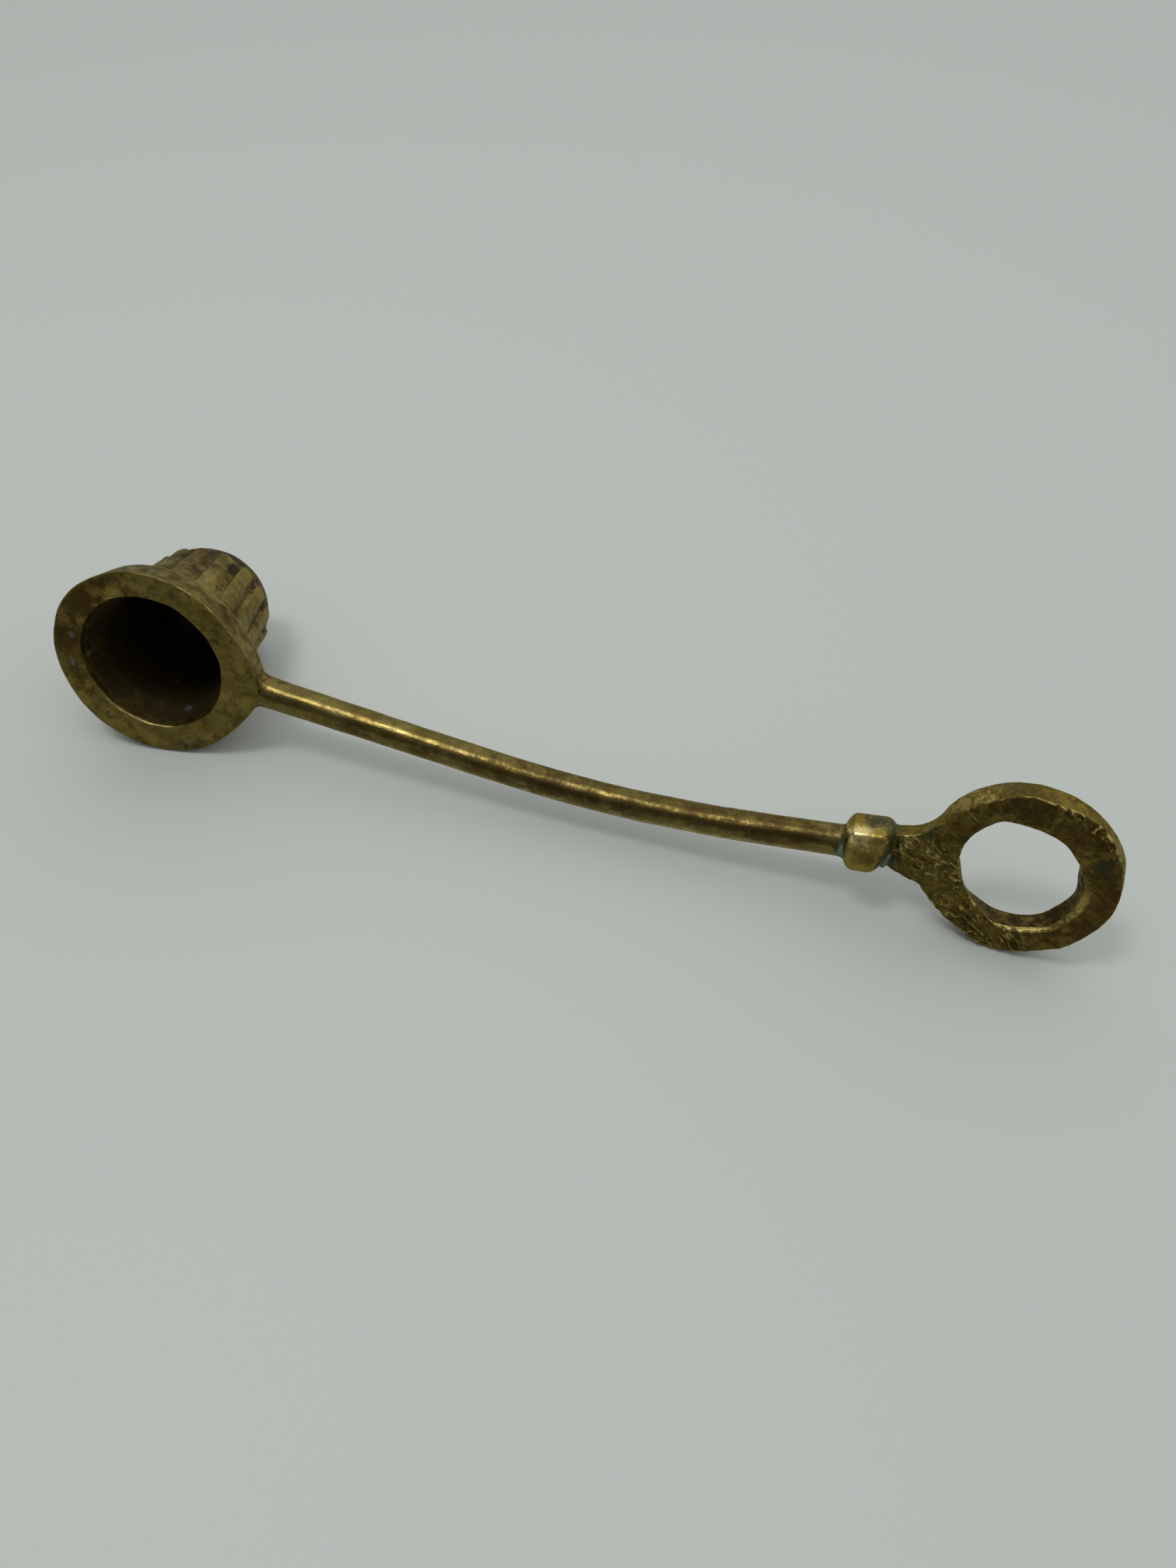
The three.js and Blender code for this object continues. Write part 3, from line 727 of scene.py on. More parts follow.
stemEnds = (atFlange - stem["intoFlange"], collarFrom + stem["intoCollar"])
run, angle = crossed(np.linspace(*stemEnds, stem["stations"]), fullTurn(stem["sides"]))
plain = aroundStem(run, angle, stemRadius(run))
fromFlange = run - atFlange
blot = spots(angle, fromFlange, stem["girth"], stem["blots"], stem["blotStretch"])
nubbly = hump(fromFlange, 94, 11) + 0.5 * hump(fromFlange, 30, 10)
uneven = grain(plain * (0.45, 1, 1), 6.0, 11) * 0.08 + grain(plain * (0.6, 1, 1), 2.6, 12) * 0.045
uneven = uneven + grain(plain, 0.9, 13) * 0.01 + nubbly * grain(plain, 1.3, 14) * 0.05 - 0.04 * blot
uneven = uneven + grain(plain * (0.1, 1, 1), 1.1, 19) * 0.03  # flats drawn along the bar
points = aroundStem(run, angle, stemRadius(run) + uneven, stem["drop"])
cloud = grain(plain * (0.4, 1, 1), 4.0, 15)
small = grain(plain * (0.6, 1, 1), 1.5, 16)
# painted reflection: the lower side, which reflects the floor, is painted lighter, more so towards the
# collar, and kept clear of the tarnish that the rest of that half gets
lowSide = turnHump(angle, 135, 34)
lowSideSheen = lowSide * (0.25 + 0.35 * ease(fromFlange, 45, 65))
nearCollar = ease(collarFrom - run, 3.4, 0.4)
greenish = 0.28 * ease(collarFrom - run, 13, 4) * (0.5 + cloud)
greenish = greenish + 0.2 * hump(fromFlange, 49, 7) * (0.4 + small)
marks = {
    "tarnish": 0.1 + blot + 0.24 * cloud + 0.1 * small + (0.42 - 0.5 * lowSide) * ease(fromFlange, 38, 66),
    "wearAndSheen": 0.1 + 0.2 * cloud + 0.35 * nubbly * np.clip(small, 0, 1) + lowSideSheen,
    "bloom": nearCollar * (0.4 * turnHump(angle, 115, 45) + 0.06 + 0.2 * small) + greenish,
    "copper": 0.25 * np.clip(grain(plain * (0.5, 1, 1), 3.0, 18) - 0.15, 0, 1),
}
brush = np.stack([run, np.radians(angle) * stem["girth"], 0 * run], -1)
stemBrass = agedBrass("stemBrass", stem["look"])
addTube("stemBar", points, marks, brush, stemBrass, "stem")
print("stem made")


# Collar: a bead with uneven flats, its ring end cut slanting.
collar = {
    "flats": [(78, 5.1), (6, 5.25), (142, 5.3), (200, 5.3), (258, 5.2), (316, 5.2)],  # angle and distance
    "roundness": 11,
    "endRadius": 3.3,
    "shoulder": 2.0,
    "curl": 2.4,
    "slant": 1.35,
    "slantTurn": 10,
    "trim": 0.3,
    "start": -0.35,
    "drop": 0.25,
    "girth": 4.8,
    "rows": 100,
    "sides": 180,
    "lumps": [(3.0, 21, 0.12), (1.2, 22, 0.035), (0.5, 23, 0.01)],
    # the bright gold is pale, for the painted highlight on the ridge
    "look": {
        "dark": linear(124, 103, 45), "light": linear(160, 138, 70), "olive": linear(120, 108, 50),
        "dull": linear(104, 84, 36), "bright": linear(236, 216, 150),
        "mottle": 4.5, "greenish": 0.4, "patchy": 0.5, "specked": 0.35, "streaky": 0.15, "strokes": 2.0,
        "brownest": 0.8, "smooth": 0.16, "matt": 0.3, "scored": 0.15, "pebbled": 0.2, "lacquer": 0.06,
        "edgeTint": (0.88, 0.8, 0.56, 1.0),
    },
}


def collarGirth(angle):
    power = collar["roundness"]
    total = 0
    for middle, reach in collar["flats"]:
        total = total + np.maximum(np.cos(np.radians(turnGap(angle, middle))) / reach, 0) ** power
    return total ** (-1 / power)


share, angle = crossed(np.linspace(0, 1, collar["rows"]), fullTurn(collar["sides"]))
long = collarLong - collar["start"] - collar["trim"]
long = long + collar["slant"] * np.cos(np.radians(angle + collar["slantTurn"]))
along = share * long
inward = np.minimum(along, (long - along) * 0.8)
turnIn = 1 - np.clip(inward / collar["shoulder"], 0, 1)
girth = collarGirth(angle)
radius = girth - (girth - collar["endRadius"]) * turnIn ** collar["curl"]
run = collarFrom + collar["start"] + along
plain = aroundStem(run, angle, radius)
points = aroundStem(run, angle, radius + lumpy(plain, collar["lumps"]), collar["drop"])
cloud = grain(plain, 3.0, 24)
small = grain(plain, 1.1, 25)
topFlat = turnHump(angle, -6, 34) * ease(along, 2.0, 4.2)
leftEnd = ease(along, 1.8, 0.2)
rightEnd = ease(long - along, 2.2, 0.2)
frontSide = turnHump(angle, 95, 55)
endBloom = 0.2 * leftEnd * frontSide
bloom = 0.5 * topFlat + endBloom + 0.2 * rightEnd + 0.4 * rightEnd * frontSide + 0.1 * small
marks = {
    "tarnish": 0.12 + 0.4 * topFlat + 0.25 * cloud + 0.35 * leftEnd + 0.5 * rightEnd,
    # partly wear, partly painted highlight: the ridge at 44 degrees is painted bright near the stem end,
    # where the highlight falls
    "wearAndSheen": 0.95 * turnHump(angle, 44, 24) * (1 - ease(along, 3.5, 6.5)) + 0.2 * small + 0.2 * cloud,
    "bloom": bloom,
}
brush = np.stack([np.radians(angle) * collar["girth"], along, 0 * along], -1)
collarBrass = agedBrass("collarBrass", collar["look"])
addTube("collarBead", points, marks, brush, collarBrass, "collar")
print("collar made")


# Finger ring and neck: a flat casting with filed facets, swept round the middle of the ring.
ring = {
    # each knot is an angle and a radius, and for the inset how far the front edge lies inside the outline
    "outer": [(-148, 16.7), (-137, 16.4), (-124, 16.2), (-113, 16.2), (-104, 17.0), (-97, 17.1), (-85, 16.7),
              (-68, 16.5), (-52, 16.4), (-36, 16.15), (-20, 16.15), (-5, 16.25), (17, 16.5), (38, 16.3),
              (62, 16.4), (83, 16.5), (100, 16.75), (119, 16.6), (139, 16.5), (152, 16.35)],
    "holeFront": [(-163, 9.9), (-145, 9.7), (-130, 10.2), (-116, 10.8), (-105, 11.4), (-95, 11.6),
                  (-80, 11.3), (-68, 11.6), (-57, 12.0), (-48, 11.5), (-36, 11.0), (-22, 10.6), (0, 10.4),
                  (15, 9.8), (37, 9.5), (49, 9.75), (71, 9.6), (86, 9.8), (99, 10.3), (114, 11.1),
                  (136, 10.8), (157, 10.5)],
    "holeBack": [(-163, 10.0), (-137, 11.0), (-120, 10.8), (-89, 11.2), (-66, 11.0), (-46, 10.2), (-20, 10.1),
                 (0, 9.2), (20, 9.4), (60, 10.2), (90, 10.3), (115, 11.3), (150, 10.8)],
    "inset": [(-150, 0.0), (-15, 0.0), (5, 0.25), (20, 0.5), (38, 0.0), (55, 0.05), (65, 0.4), (75, 0.85),
              (97, 0.75), (106, 0.95), (114, 1.2), (122, 1.0), (143, 0.85), (152, 0.45), (157, 0.0)],
    # the neck's edges, from its end to the ring, as places along and across it
    "neckOver": [(-22.6, 3.7), (-20.8, 3.75), (-19.4, 4.0), (-17.9, 4.5), (-16.5, 5.5), (-15.6, 6.3)],
    "neckUnder": [(-22.6, -2.9), (-21.9, -3.5), (-20.8, -3.95), (-19.2, -4.6), (-17.6, -5.3), (-16.2, -6.0),
                  (-15.5, -7.0)],
    "half": 2.2,
    "corner": 0.24,
    "rearCorner": 0.6,
    "rearLip": 0.5,
    "turns": 780,
    "facetSeed": 17,
    "facets": 46,
    "facetReach": (10.2, 17.0),
    "facetTilt": 0.06,
    "facetLift": 0.04,
    "facetHollow": 0.02,
    "facetDepth": 0.3,
    "neckFacets": [(-18.5, 1.5), (-18.8, -2.0), (-21, 0.5), (-21.5, -2.5), (-16.5, 3.5), (-17, -4.5)],
    "lumps": [(3.2, 31, 0.1), (1.3, 32, 0.06), (0.55, 33, 0.025)],
    "look": {
        "dark": linear(92, 76, 34), "light": linear(124, 106, 51), "olive": linear(86, 80, 38),
        "dull": linear(64, 54, 25), "bright": linear(200, 178, 108),
        "mottle": 5.0, "greenish": 0.6, "patchy": 0.8, "specked": 0.65, "streaky": 0.45, "strokes": 3.0,
        "brownest": 0.8, "smooth": 0.22, "matt": 0.42, "scored": 0.7, "pebbled": 0.45, "lacquer": 0.0,
        "edgeTint": (0.86, 0.77, 0.52, 1.0),
    },
    "spots": {  # a girth, then places with a radius
        "smooth": (14, [(158, 13.4, 1.9, 1), (140, 14.0, 1.6, 0.7)]),
        "nicks": (15.4, [(-84, 15.3, 0.8, 1), (-100, 15.6, 0.6, 0.8), (62, 15.3, 0.7, 0.5),
                         (90, 15.5, 0.8, 0.6), (76, 15.6, 0.6, 0.6), (100, 15.2, 0.5, 0.5)]),
        "brown": (15, [(-84, 15.2, 1.6, 0.7), (-112, 15.4, 1.2, 0.5), (-40, 15, 2, 0.4), (86, 12.8, 3.0, 0.4),
                       (150, 13, 2.4, 0.35)]),
        "sootAndShade": (13.5, [(20.5, 13.5, 1.7, 0.9), (12, 14.2, 1.1, 0.7), (-84, 15.8, 0.7, 0.8)]),
        "stains": (14, [(159, 16.8, 1.5, 0.5), (152, 12.0, 1.3, 0.5), (-155, 11.2, 1.6, 0.45),
                        (-120, 13.6, 1.2, 0.35), (-168, 15.0, 1.4, 0.35), (70, 14.6, 1.2, 0.35)]),
        "neckTop": (18, [(169, 19.0, 2.0, 0.3)]),
        "bloom": (13.5, [(20.5, 13.5, 1.7, 0.34), (12, 14.2, 1.1, 0.3), (-84, 15.6, 0.6, 0.3)]),
    },
}


def around(knots, angle, soft):
    # a value given at some angles, carried round the ring and softened over a few degrees
    turns = [turn for turn, value in knots]
    values = [value for turn, value in knots]
    shifts = np.linspace(-soft, soft, 9)
    return np.mean([np.interp(angle + shift, turns, values, period=360) for shift in shifts], axis=0)


def ringOuter(angle):
    # the ring's outline with the neck, which ends in a flat
    over, under = ring["neckOver"], ring["neckUnder"]
    neck = [(math.degrees(math.atan2(z, x)), math.hypot(x, z)) for x, z in over + under]
    plain = around(ring["outer"] + neck, angle, 1.5)
    flat = over[0][0] / np.minimum(np.cos(np.radians(angle)), -0.5)
    onEnd = (angle > neck[0][0]) | (angle < neck[len(over)][0])
    return np.where(onEnd, flat, np.minimum(plain, np.where(np.abs(angle) > 120, flat, 99)))


# columns stand evenly along the outline
dense = fullTurn(14400, -180)
outline = ringOuter(dense)
edgeX, edgeZ = outline * np.cos(np.radians(dense)), outline * np.sin(np.radians(dense))
steps = np.hypot(np.diff(edgeX, append=edgeX[0]), np.diff(edgeZ, append=edgeZ[0]))
walked = np.concatenate([[0], np.cumsum(steps)])[:-1]
angle = np.interp(np.linspace(0, steps.sum(), ring["turns"], endpoint=False), walked, dense)
outerR = ringOuter(angle) - 0.5 * turnHump(angle, 180, 22)
frontR = ringOuter(angle) - around(ring["inset"], angle, 3.0)
innerR = around(ring["holeFront"], angle, 3.0)
rearR = around(ring["holeBack"], angle, 4.0)

dice = np.random.default_rng(ring["facetSeed"])
facetTurn = dice.uniform(0, 2 * np.pi, ring["facets"])
facetReach = dice.uniform(*ring["facetReach"], ring["facets"])
seeds = np.stack([facetReach * np.cos(facetTurn), facetReach * np.sin(facetTurn)], 1)
seeds = np.vstack([seeds, ring["neckFacets"]])
tilts = dice.normal(0, ring["facetTilt"], seeds.shape)
lifts = dice.normal(0, ring["facetLift"], len(seeds))
tones = dice.uniform(-1, 1, len(seeds))


def filed(x, z):
    # facets left by a file: the lowest of many shallow dishes, and the tone of each
    low = np.full(x.shape, 9.0)
    tone = np.zeros(x.shape)
    for (seedX, seedZ), (tiltX, tiltZ), lift, shade in zip(seeds, tilts, lifts, tones):
        dx, dz = x - seedX, z - seedZ
        dish = lift + tiltX * dx + tiltZ * dz + ring["facetHollow"] * (dx * dx + dz * dz)
        tone = np.where(dish < low, shade, tone)
        low = np.minimum(low, dish)
    return np.clip(low, -ring["facetDepth"], ring["facetDepth"]), tone


def ringRows():
    # one loop of the section: up the hole's wall, over the front, down the rim and back along the rear
    half, out = ring["half"], ring["corner"]
    outRear, lipRear = ring["rearCorner"], ring["rearLip"]
    lip = 0.4 + 0.9 * turnHump(angle, -15, 32) + 0.25 * turnHump(angle, -75, 30)
    sink = 0.45 + 0.2 * turnHump(angle, -75, 30)
    bend = quarterTurn(9)
    rows = []
    for t in shares(18):
        rows.append(("hole", rearR * (1 - t) + innerR * t, (half - lipRear) * (1 - t) - (half - sink) * t))
    for turn in bend:
        rows.append(("lip", innerR + lip * (1 - math.cos(turn)), -half + sink * (1 - math.sin(turn))))
    for t in shares(46):
        rows.append(("front", (innerR + lip) * (1 - t) + (frontR - out) * t, -half))
    for turn in bend:
        rows.append(("ridge", frontR - out * (1 - math.sin(turn)), -half + out * (1 - math.cos(turn))))
    for t in shares(24):
        swell = math.sin(t * math.pi / 2) ** 0.9
        rimDeep = -(half - out) * (1 - t) + (half - outRear) * t
        rows.append(("rim", frontR + (outerR - frontR) * swell, rimDeep))
    for turn in bend:
        ridgeDeep = half - outRear * (1 - math.sin(turn))
        rows.append(("rearRidge", outerR - outRear * (1 - math.cos(turn)), ridgeDeep))
    for t in shares(22):
        rows.append(("rear", (outerR - outRear) * (1 - t) + (rearR + lipRear) * t, half))
    for turn in bend:
        lipDeep = half - lipRear * (1 - math.cos(turn))
        rows.append(("rearLip", rearR + lipRear * (1 - math.sin(turn)), lipDeep))
    names = np.array([row[0] for row in rows])
    return names, np.array([row[1] for row in rows]), np.array([row[2] + 0 * angle for row in rows])


def takesPart(rows, shareAt):
    # how far each row of the section takes part in a surface
    return np.interp(np.arange(len(names)), rows, shareAt)[:, None]


names, radius, deep = ringRows()
on = masks(names)
first = {name: int(np.argmax(names == name)) for name in set(names)}
frontRows = [first["lip"], first["front"], first["ridge"], first["rim"], first["rim"] + 6]
frontShare = takesPart(frontRows, [0, 1, 1, 0.4, 0])
rimShare = takesPart([first["ridge"], first["rim"], first["rearRidge"], first["rear"]], [0, 1, 1, 0])
rearShare = takesPart([first["rearRidge"], first["rear"], first["rearLip"], len(names)], [0, 1, 1, 0])
holeShare = takesPart([0, first["lip"], first["front"], first["rearLip"], len(names)], [1, 1, 0, 0, 1])

# filed facets and a slight dome on both faces
turn = np.radians(angle)[None, :]
turnGrid = angle[None, :] + 0 * radius
x, z = radius * np.cos(turn), radius * np.sin(turn)
frontSide = ease(-deep, -0.6, ring["half"] - 0.3)
rearSide = ease(deep, -0.6, ring["half"] - 0.3)
across = np.clip((frontR - radius) / np.maximum(frontR - innerR, 1), 0, 1)
domed = 0.14 * (np.abs(across - 0.5) * 2) ** 2
facets, facetTone = filed(x, z)
rearFacets = filed(x + 3, z - 2)[0]
deep = deep + frontSide * (0.1 - 1.1 * facets + domed) - rearSide * (domed - 0.6 * rearFacets)

# rough skin by the neck, at the lower left and at the upper right, with crests where crumple is zero; the
# crests are later painted bright, partly as wear and partly as painted highlight glints
spot = ring["spots"]
local = wrapped(turn, radius, deep)
lumps = lumpy(local, ring["lumps"])
scores = grain(np.stack([(x - z) * 0.22, deep * 0.4, (x + z) * 1.3], -1), 1.0, 34)
creased = np.stack([(x - z) * 0.45, deep * 0.8, (x + z) * 0.9], -1)
crumple = np.abs(grain(creased, 1.5, 38)) + 0.6 * np.abs(grain(creased, 0.6, 39))
coarse = turnHump(angle, 180, 42) + 1.4 * turnHump(angle, 48, 26) * ease(radius, 12.8, 14.6)
coarse = coarse + 0.8 * turnHump(angle, -128, 32) + 0.6 * turnHump(angle, -85, 24)
coarse = coarse - 0.8 * spots(turnGrid, radius, *spot["smooth"])
coarse = np.clip(coarse * (0.9 + 0.8 * grain(local, 3.5, 40)), 0, 1)
crests = coarse * (1 - ease(crumple, 0.08, 0.3))
nicks = spots(turnGrid, radius, *spot["nicks"])
radius = radius + rimShare * lumps * 0.8 - holeShare * lumps * 0.6
relief = lumps + (0.02 + 0.12 * coarse) * scores - 0.85 * coarse * (crumple - 0.3) - 0.35 * nicks
deep = deep - frontShare * relief + rearShare * lumps
local = wrapped(turn, radius, deep)

cloud = grain(local, 4.5, 35)
small = grain(local, 1.2, 36)
onFront = on["front"] | on["ridge"] | on["lip"]
stains = spots(turnGrid, radius, *spot["stains"])
# painted reflection: a pale crescent along the lower right of the hole's front edge
crescent = turnHump(turnGrid, -18, 26) * ease(across, 0.6, 0.85)
tarnish = onFront * (0.3 + 0.3 * turnHump(turnGrid, 40, 80) + 0.28 * facetTone)
tarnish = tarnish + 0.1 * on["rim"] + 0.3 * on["hole"] + 0.3 * on["rear"]
tarnish = tarnish + 0.26 * cloud + 0.15 * small - 0.24 * onFront * turnHump(turnGrid, -145, 60)
tarnish = tarnish + onFront * spots(turnGrid, radius, *spot["brown"])
sootAndShade = onFront * 0.2 * coarse * ease(crumple, 0.3, 0.6) + on["hole"] * (0.52 + 0.3 * cloud)
sootAndShade = sootAndShade + onFront * spots(turnGrid, radius, *spot["sootAndShade"])
# darker on the neck and across the top of the face
topAndNeckDarkening = 0.2 * ease(radius, 19.0, 21.0) * (0.6 + small) + 0.4 * turnHump(turnGrid, 92, 34) * (0.8 + cloud)
sootAndShade = sootAndShade + onFront * topAndNeckDarkening + onFront * stains
wearAndSheen = on["ridge"] * (0.2 + 0.35 * turnHump(turnGrid, 90, 60) + 0.5 * small)
# painted highlight: a bright line along the lower lip of the hole, where the bevel faces up to the light
wearAndSheen = wearAndSheen + on["lip"] * (0.1 + 0.6 * turnHump(turnGrid, -72, 24))
# partly wear, partly painted highlight: a bright saddle on the neck's top
neckTop = spots(turnGrid, radius, *spot["neckTop"])
# painted highlight, partly wear: the crest lines get bright gold glints
wearAndSheen = wearAndSheen + onFront * (0.62 * crests + 0.12 * coarse + 0.5 * crescent + neckTop)
wearAndSheen = wearAndSheen + on["rim"] * (0.15 + 0.4 * turnHump(turnGrid, 128, 22))
# painted reflection: the hole's wall is lighter next to the crescent
wearAndSheen = wearAndSheen + on["hole"] * 0.15 * turnHump(turnGrid, -10, 28)
bloom = onFront * spots(turnGrid, radius, *spot["bloom"]) + 0.3 * on["rim"] * turnHump(turnGrid, 103, 9)
bloom = bloom + 0.3 * ease(radius, 19.6, 21.5) * (0.5 + small)
bloom = bloom + 0.5 * ease(radius, 18.8, 21.4) * turnHump(turnGrid, -168, 8)
flecks = 0.35 * np.clip(grain(local, 2.0, 37), 0, 1) * (turnHump(turnGrid, 170, 34) + 0.4)
bloom = bloom + onFront * (flecks + 0.4 * stains)
marks = {"tarnish": tarnish, "sootAndShade": sootAndShade, "wearAndSheen": wearAndSheen, "bloom": bloom}
brush = np.stack([local[..., 0] - local[..., 2], local[..., 0] + local[..., 2], 2 * local[..., 1]], -1)
world = insideBox(placed(local, ringMiddle, ringAway, ringBack, ringUp))
ringBrass = agedBrass("ringBrass", ring["look"])
addHoop("fingerRing", world, marks, brush, ringBrass, "finger_ring")
print("finger ring made")


# Brazing metal: fillets above and below the stem at the flange, round it at the collar, and at the neck.
fill = {
    "rimReach": 102,  # degrees to each side of a rim fillet's middle
    "rimLeg": (0.6, 1.5),  # the leg at its ends, and what its middle adds
    "rimSink": 0.8,
    "curveRows": 14,
    "stemSides": 96,
    "stemLumps": [(1.0, 43, 0.14), (0.45, 44, 0.06)],
    "neckSides": 120,
    "neckTall": 3.3,
    "neckWide": 2.3,
    "neckSquare": 6,
    "neckLumps": [(1.1, 46, 0.25), (0.5, 47, 0.12)],
    "look": {
        "dark": linear(98, 82, 38), "light": linear(126, 109, 54), "olive": linear(92, 86, 42),
        "dull": linear(70, 58, 28), "bright": linear(176, 158, 100),
        "mottle": 3.0, "greenish": 0.6, "patchy": 0.7, "specked": 0.5, "streaky": 0.1, "strokes": 2.0,
        "brownest": 0.9, "smooth": 0.32, "matt": 0.5, "scored": 0.1, "pebbled": 0.5, "lacquer": 0.0,
        "edgeTint": (0.88, 0.8, 0.58, 1.0),
    },
}
fillBrass = agedBrass("fillBrass", fill["look"])
curveRows = fill["curveRows"]


def onFlange(points, sink):
    # the nearest place on the flange's edge, sunk into it
    aside = points - mouthMiddle
    depth = np.clip(aside @ mouthAxis, 0.5, bell["flangeDeep"] - 0.5)
    turned = np.arctan2(aside @ bellUp, aside @ bellRight)
    reach = bellEdge(bell, np.degrees(turned), depth) - sink
    return toBell(wrapped(turned, reach, depth))


def rimFill(name, node, middle):
    # a hollow fillet over half of the bar, fading out at both ends
    far, sink, drop = fill["rimReach"], fill["rimSink"], stem["drop"]
    endLeg, moreLeg = fill["rimLeg"]
    turn = np.linspace(middle - far, middle + far, 78)
    leg = endLeg + moreLeg * np.cos(np.radians((turn - middle) / far * 89))
    start = atFlange + 0 * turn
    rail = stemRadius(start) - 0.06
    tip = aroundStem(start + leg, turn, rail, drop)
    corner = onFlange(aroundStem(start, turn, rail, drop), 0.0)
    foot = onFlange(aroundStem(start, turn, rail + leg * 0.9, drop), 0.1)
    curve = bowed(tip, corner, foot, np.linspace(0, 1, curveRows)[:, None, None])
    curve = curve + 0.07 * grain(curve, 0.9, 41)[..., None] * bellUp
    deepFoot = onFlange(foot, sink)
    deepCorner = onFlange(aroundStem(start, turn, rail * 0.6), sink)
    deepTip = aroundStem(start + leg * 0.6, turn, rail * 0.7)
    loop = np.vstack([curve, [deepFoot, deepCorner, deepTip]]).transpose(1, 0, 2)
    cloud = grain(loop, 1.2, 42)
    marks = {"tarnish": 0.4 + 0.5 * cloud, "bloom": 0.15 + 0.25 * cloud, "wearAndSheen": 0.15 - 0.3 * cloud}
    addTube(name, loop, marks, loop, fillBrass, node)


rimFill("rimFillUpper", "rim_braze_upper", 0)
rimFill("rimFillLower", "rim_braze_lower", 180)

# filler round the stem against the collar: a hollow curve outside and three rows that close it inside
turn = fullTurn(fill["stemSides"])[None, :]
t = np.linspace(0, 1, curveRows)[:, None]
rail = stemRadius(np.array(collarFrom)) + 0 * turn
front = collarFrom + collar["start"]
runOut = front + 0.5 - (1.5 + 0.7 * turnHump(turn, 110, 60)) * (1 - t) ** 1.4
run = np.vstack([runOut, 0 * turn + front + 0.9, 0 * turn + front + 0.7, runOut[:1] + 0.3])
girth = np.vstack([rail + 0.9 * t ** 2, rail + 0.4, rail - 0.5, rail - 0.5])
angle = turn + 0 * run
plain = aroundStem(run, angle, girth)
lumps = lumpy(plain, fill["stemLumps"])
lumps[:curveRows] = lumps[:curveRows] * t - 0.05 * (1 - t)
lumps[curveRows:] = 0
points = aroundStem(run, angle, girth + lumps, stem["drop"])
cloud = grain(plain, 1.1, 45)
marks = {"tarnish": 0.1 + 0.2 * cloud, "bloom": 0.1 + 0.95 * turnHump(angle, 100, 60) + 0.2 * cloud}
addHoop("stemFill", points, marks, points, fillBrass, "stem_braze")

# filler between the collar and the neck, thick below
turn = fullTurn(fill["neckSides"])[None, :]
loop = np.radians(fullTurn(20))[:, None]
tall = np.abs(np.cos(np.radians(turn))) / fill["neckTall"]
wide = np.abs(np.sin(np.radians(turn))) / fill["neckWide"]
square = fill["neckSquare"]
boxy = (tall ** square + wide ** square) ** (-1 / square)
swell = 0.18 + 0.75 * turnHump(turn, 122, 30) + 0.3 * turnHump(turn, 300, 60)
run = collarFrom + collarLong - 0.2 + 1.1 * np.cos(np.radians(turn)) + swell * np.cos(loop)
girth = boxy - 0.15 + swell * np.sin(loop)
angle = turn + 0 * loop
plain = aroundStem(run, angle, girth)
points = aroundStem(run, angle, girth + lumpy(plain, fill["neckLumps"]), collar["drop"])
cloud = grain(plain, 1.0, 48)
marks = {"tarnish": 0.45 + 0.3 * cloud, "bloom": 0.25 + 0.65 * turnHump(angle, 115, 55) + 0.35 * cloud}
addHoop("neckFill", points, marks, points, fillBrass, "neck_braze")
print("fillers made")


# Floor, lamp, room and camera, with lengths in metres.
shot = {
    "floorSide": 4.0,
    "floorColour": linear(202, 206, 202),
    "floorRough": 0.6,
    "lampPlace": (-0.24, -0.14, 0.84),
    "lampTarget": (0.0, 0.0, 0.0),
    "lampSize": (0.18, 0.24),
    "lampPower": 1.4,
    "brightSide": (0.25, 0.55, 0.8),  # the room is bright above and behind, and dark on the camera's side
    "glowFacing": (-0.05, 0.95),
    "glow": (0.19, 0.88),
    "glowColour": (0.97, 1.0, 0.98, 1.0),
    "lens": 24.966,
    "sensor": 36,
    "nearest": 0.01,
    "cameraPlace": (0.04663, -0.14045, 0.16899),
    "cameraTurn": 16.941,
    "cameraDown": 49.354,
    "cameraRoll": 0.66,
}
stage = bpy.context.scene
side = shot["floorSide"]
corners = [(-side, -side, 0), (side, -side, 0), (side, side, 0), (-side, side, 0)]
floorMesh = bpy.data.meshes.new("floor")
floorMesh.from_pydata(corners, [], [(0, 1, 2, 3)])
floor = bpy.data.objects.new("floor", floorMesh)
stage.collection.objects.link(floor)
floorPaint = bpy.data.materials.new("floorPaint")
floorPaint.use_nodes = True
floorShader = floorPaint.node_tree.nodes["Principled BSDF"]
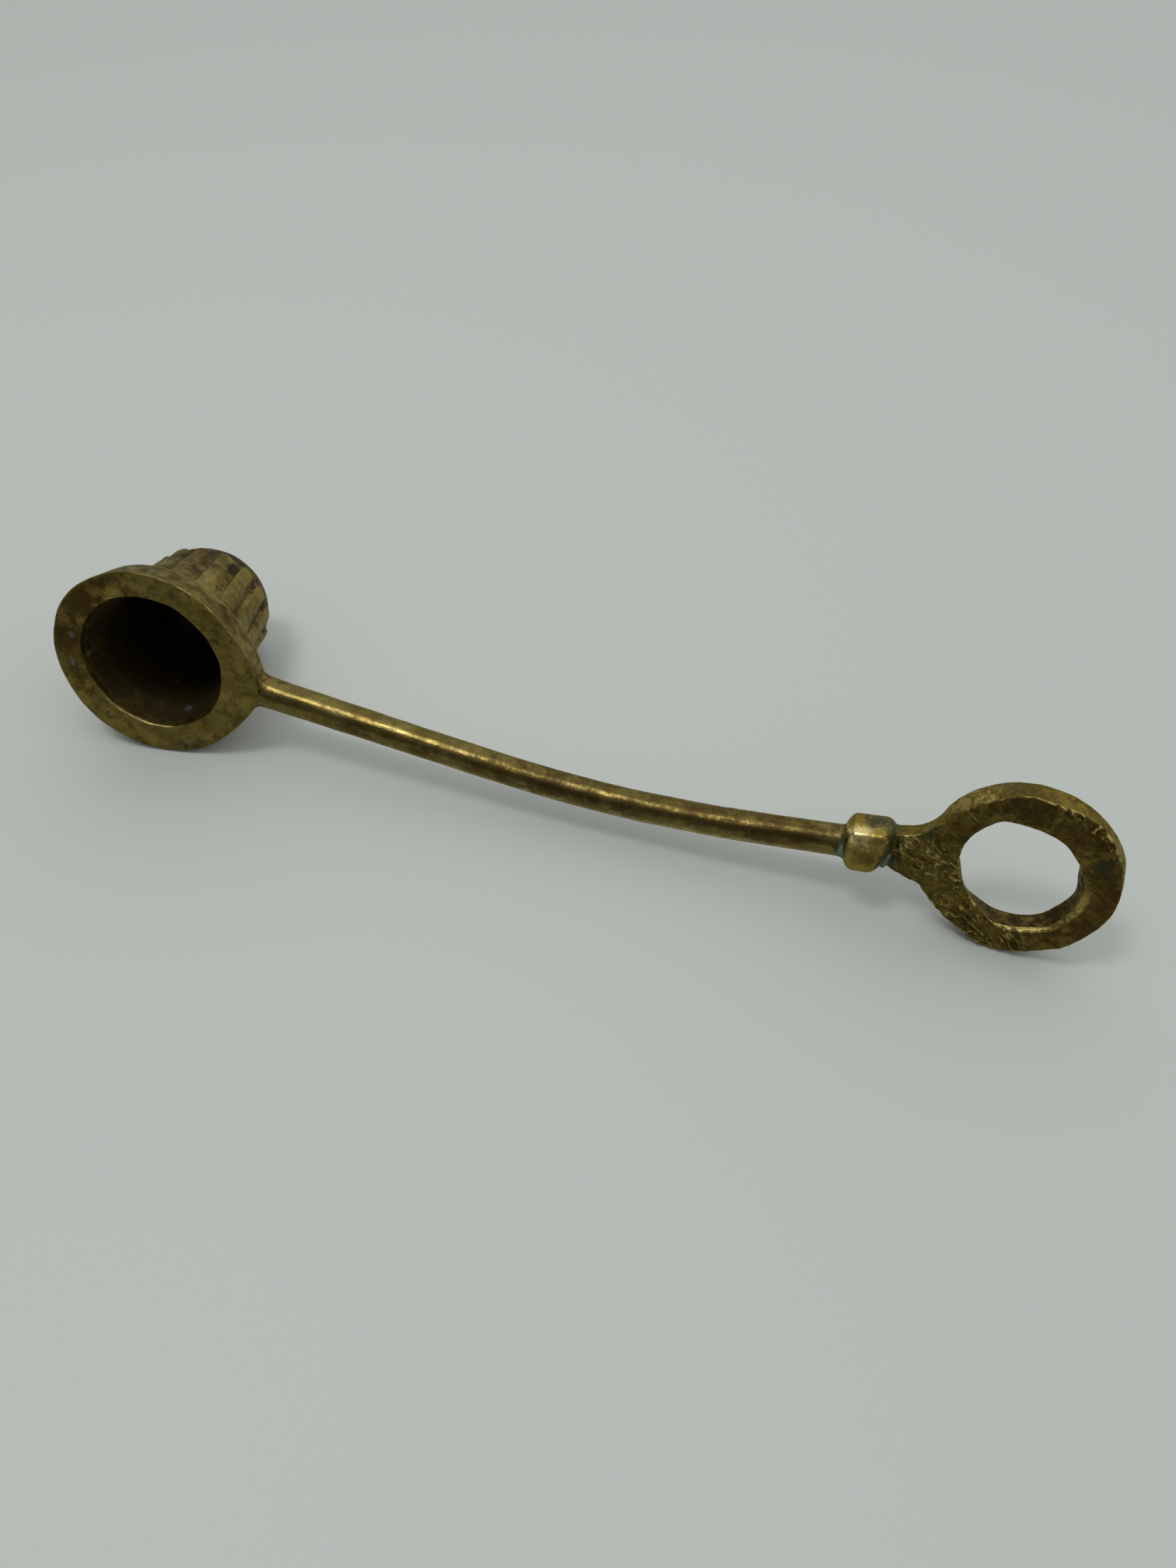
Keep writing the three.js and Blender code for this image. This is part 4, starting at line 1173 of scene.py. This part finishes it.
floorShader.inputs["Base Color"].default_value = shot["floorColour"]
floorShader.inputs["Roughness"].default_value = shot["floorRough"]
floorMesh.materials.append(floorPaint)

lampData = bpy.data.lights.new("overheadLamp", "AREA")
lampData.shape = "RECTANGLE"
lampData.size, lampData.size_y = shot["lampSize"]
lampData.energy = shot["lampPower"]
lamp = bpy.data.objects.new("overheadLamp", lampData)
lamp.location = shot["lampPlace"]
aim = Vector(shot["lampTarget"]) - Vector(shot["lampPlace"])
lamp.rotation_euler = aim.to_track_quat("-Z", "Y").to_euler()
stage.collection.objects.link(lamp)

room = bpy.data.worlds.new("room")
stage.world = room
room.use_nodes = True
roomNodes = room.node_tree.nodes
roomLinks = room.node_tree.links
direction = roomNodes.new("ShaderNodeTexCoord")
facing = roomNodes.new("ShaderNodeVectorMath")
facing.operation = "DOT_PRODUCT"
facing.inputs[1].default_value = shot["brightSide"]
roomLinks.new(direction.outputs["Generated"], facing.inputs[0])
glow = roomNodes.new("ShaderNodeMapRange")
glow.interpolation_type = "SMOOTHSTEP"
glow.inputs["From Min"].default_value, glow.inputs["From Max"].default_value = shot["glowFacing"]
glow.inputs["To Min"].default_value, glow.inputs["To Max"].default_value = shot["glow"]
roomLinks.new(facing.outputs["Value"], glow.inputs["Value"])
roomLinks.new(glow.outputs["Result"], roomNodes["Background"].inputs["Strength"])
roomNodes["Background"].inputs["Color"].default_value = shot["glowColour"]


def turnBy(degrees, axis):
    return Matrix.Rotation(math.radians(degrees), 4, axis)


cameraData = bpy.data.cameras.new("photoCamera")
cameraData.lens = shot["lens"]
cameraData.sensor_width = shot["sensor"]
cameraData.clip_start = shot["nearest"]
camera = bpy.data.objects.new("photoCamera", cameraData)
spin = turnBy(shot["cameraTurn"], "Z") @ turnBy(90 - shot["cameraDown"], "X")
camera.matrix_world = Matrix.Translation(shot["cameraPlace"]) @ spin @ turnBy(shot["cameraRoll"], "Z")
stage.collection.objects.link(camera)
stage.camera = camera
stage.view_settings.view_transform = "Standard"
print("stage set")
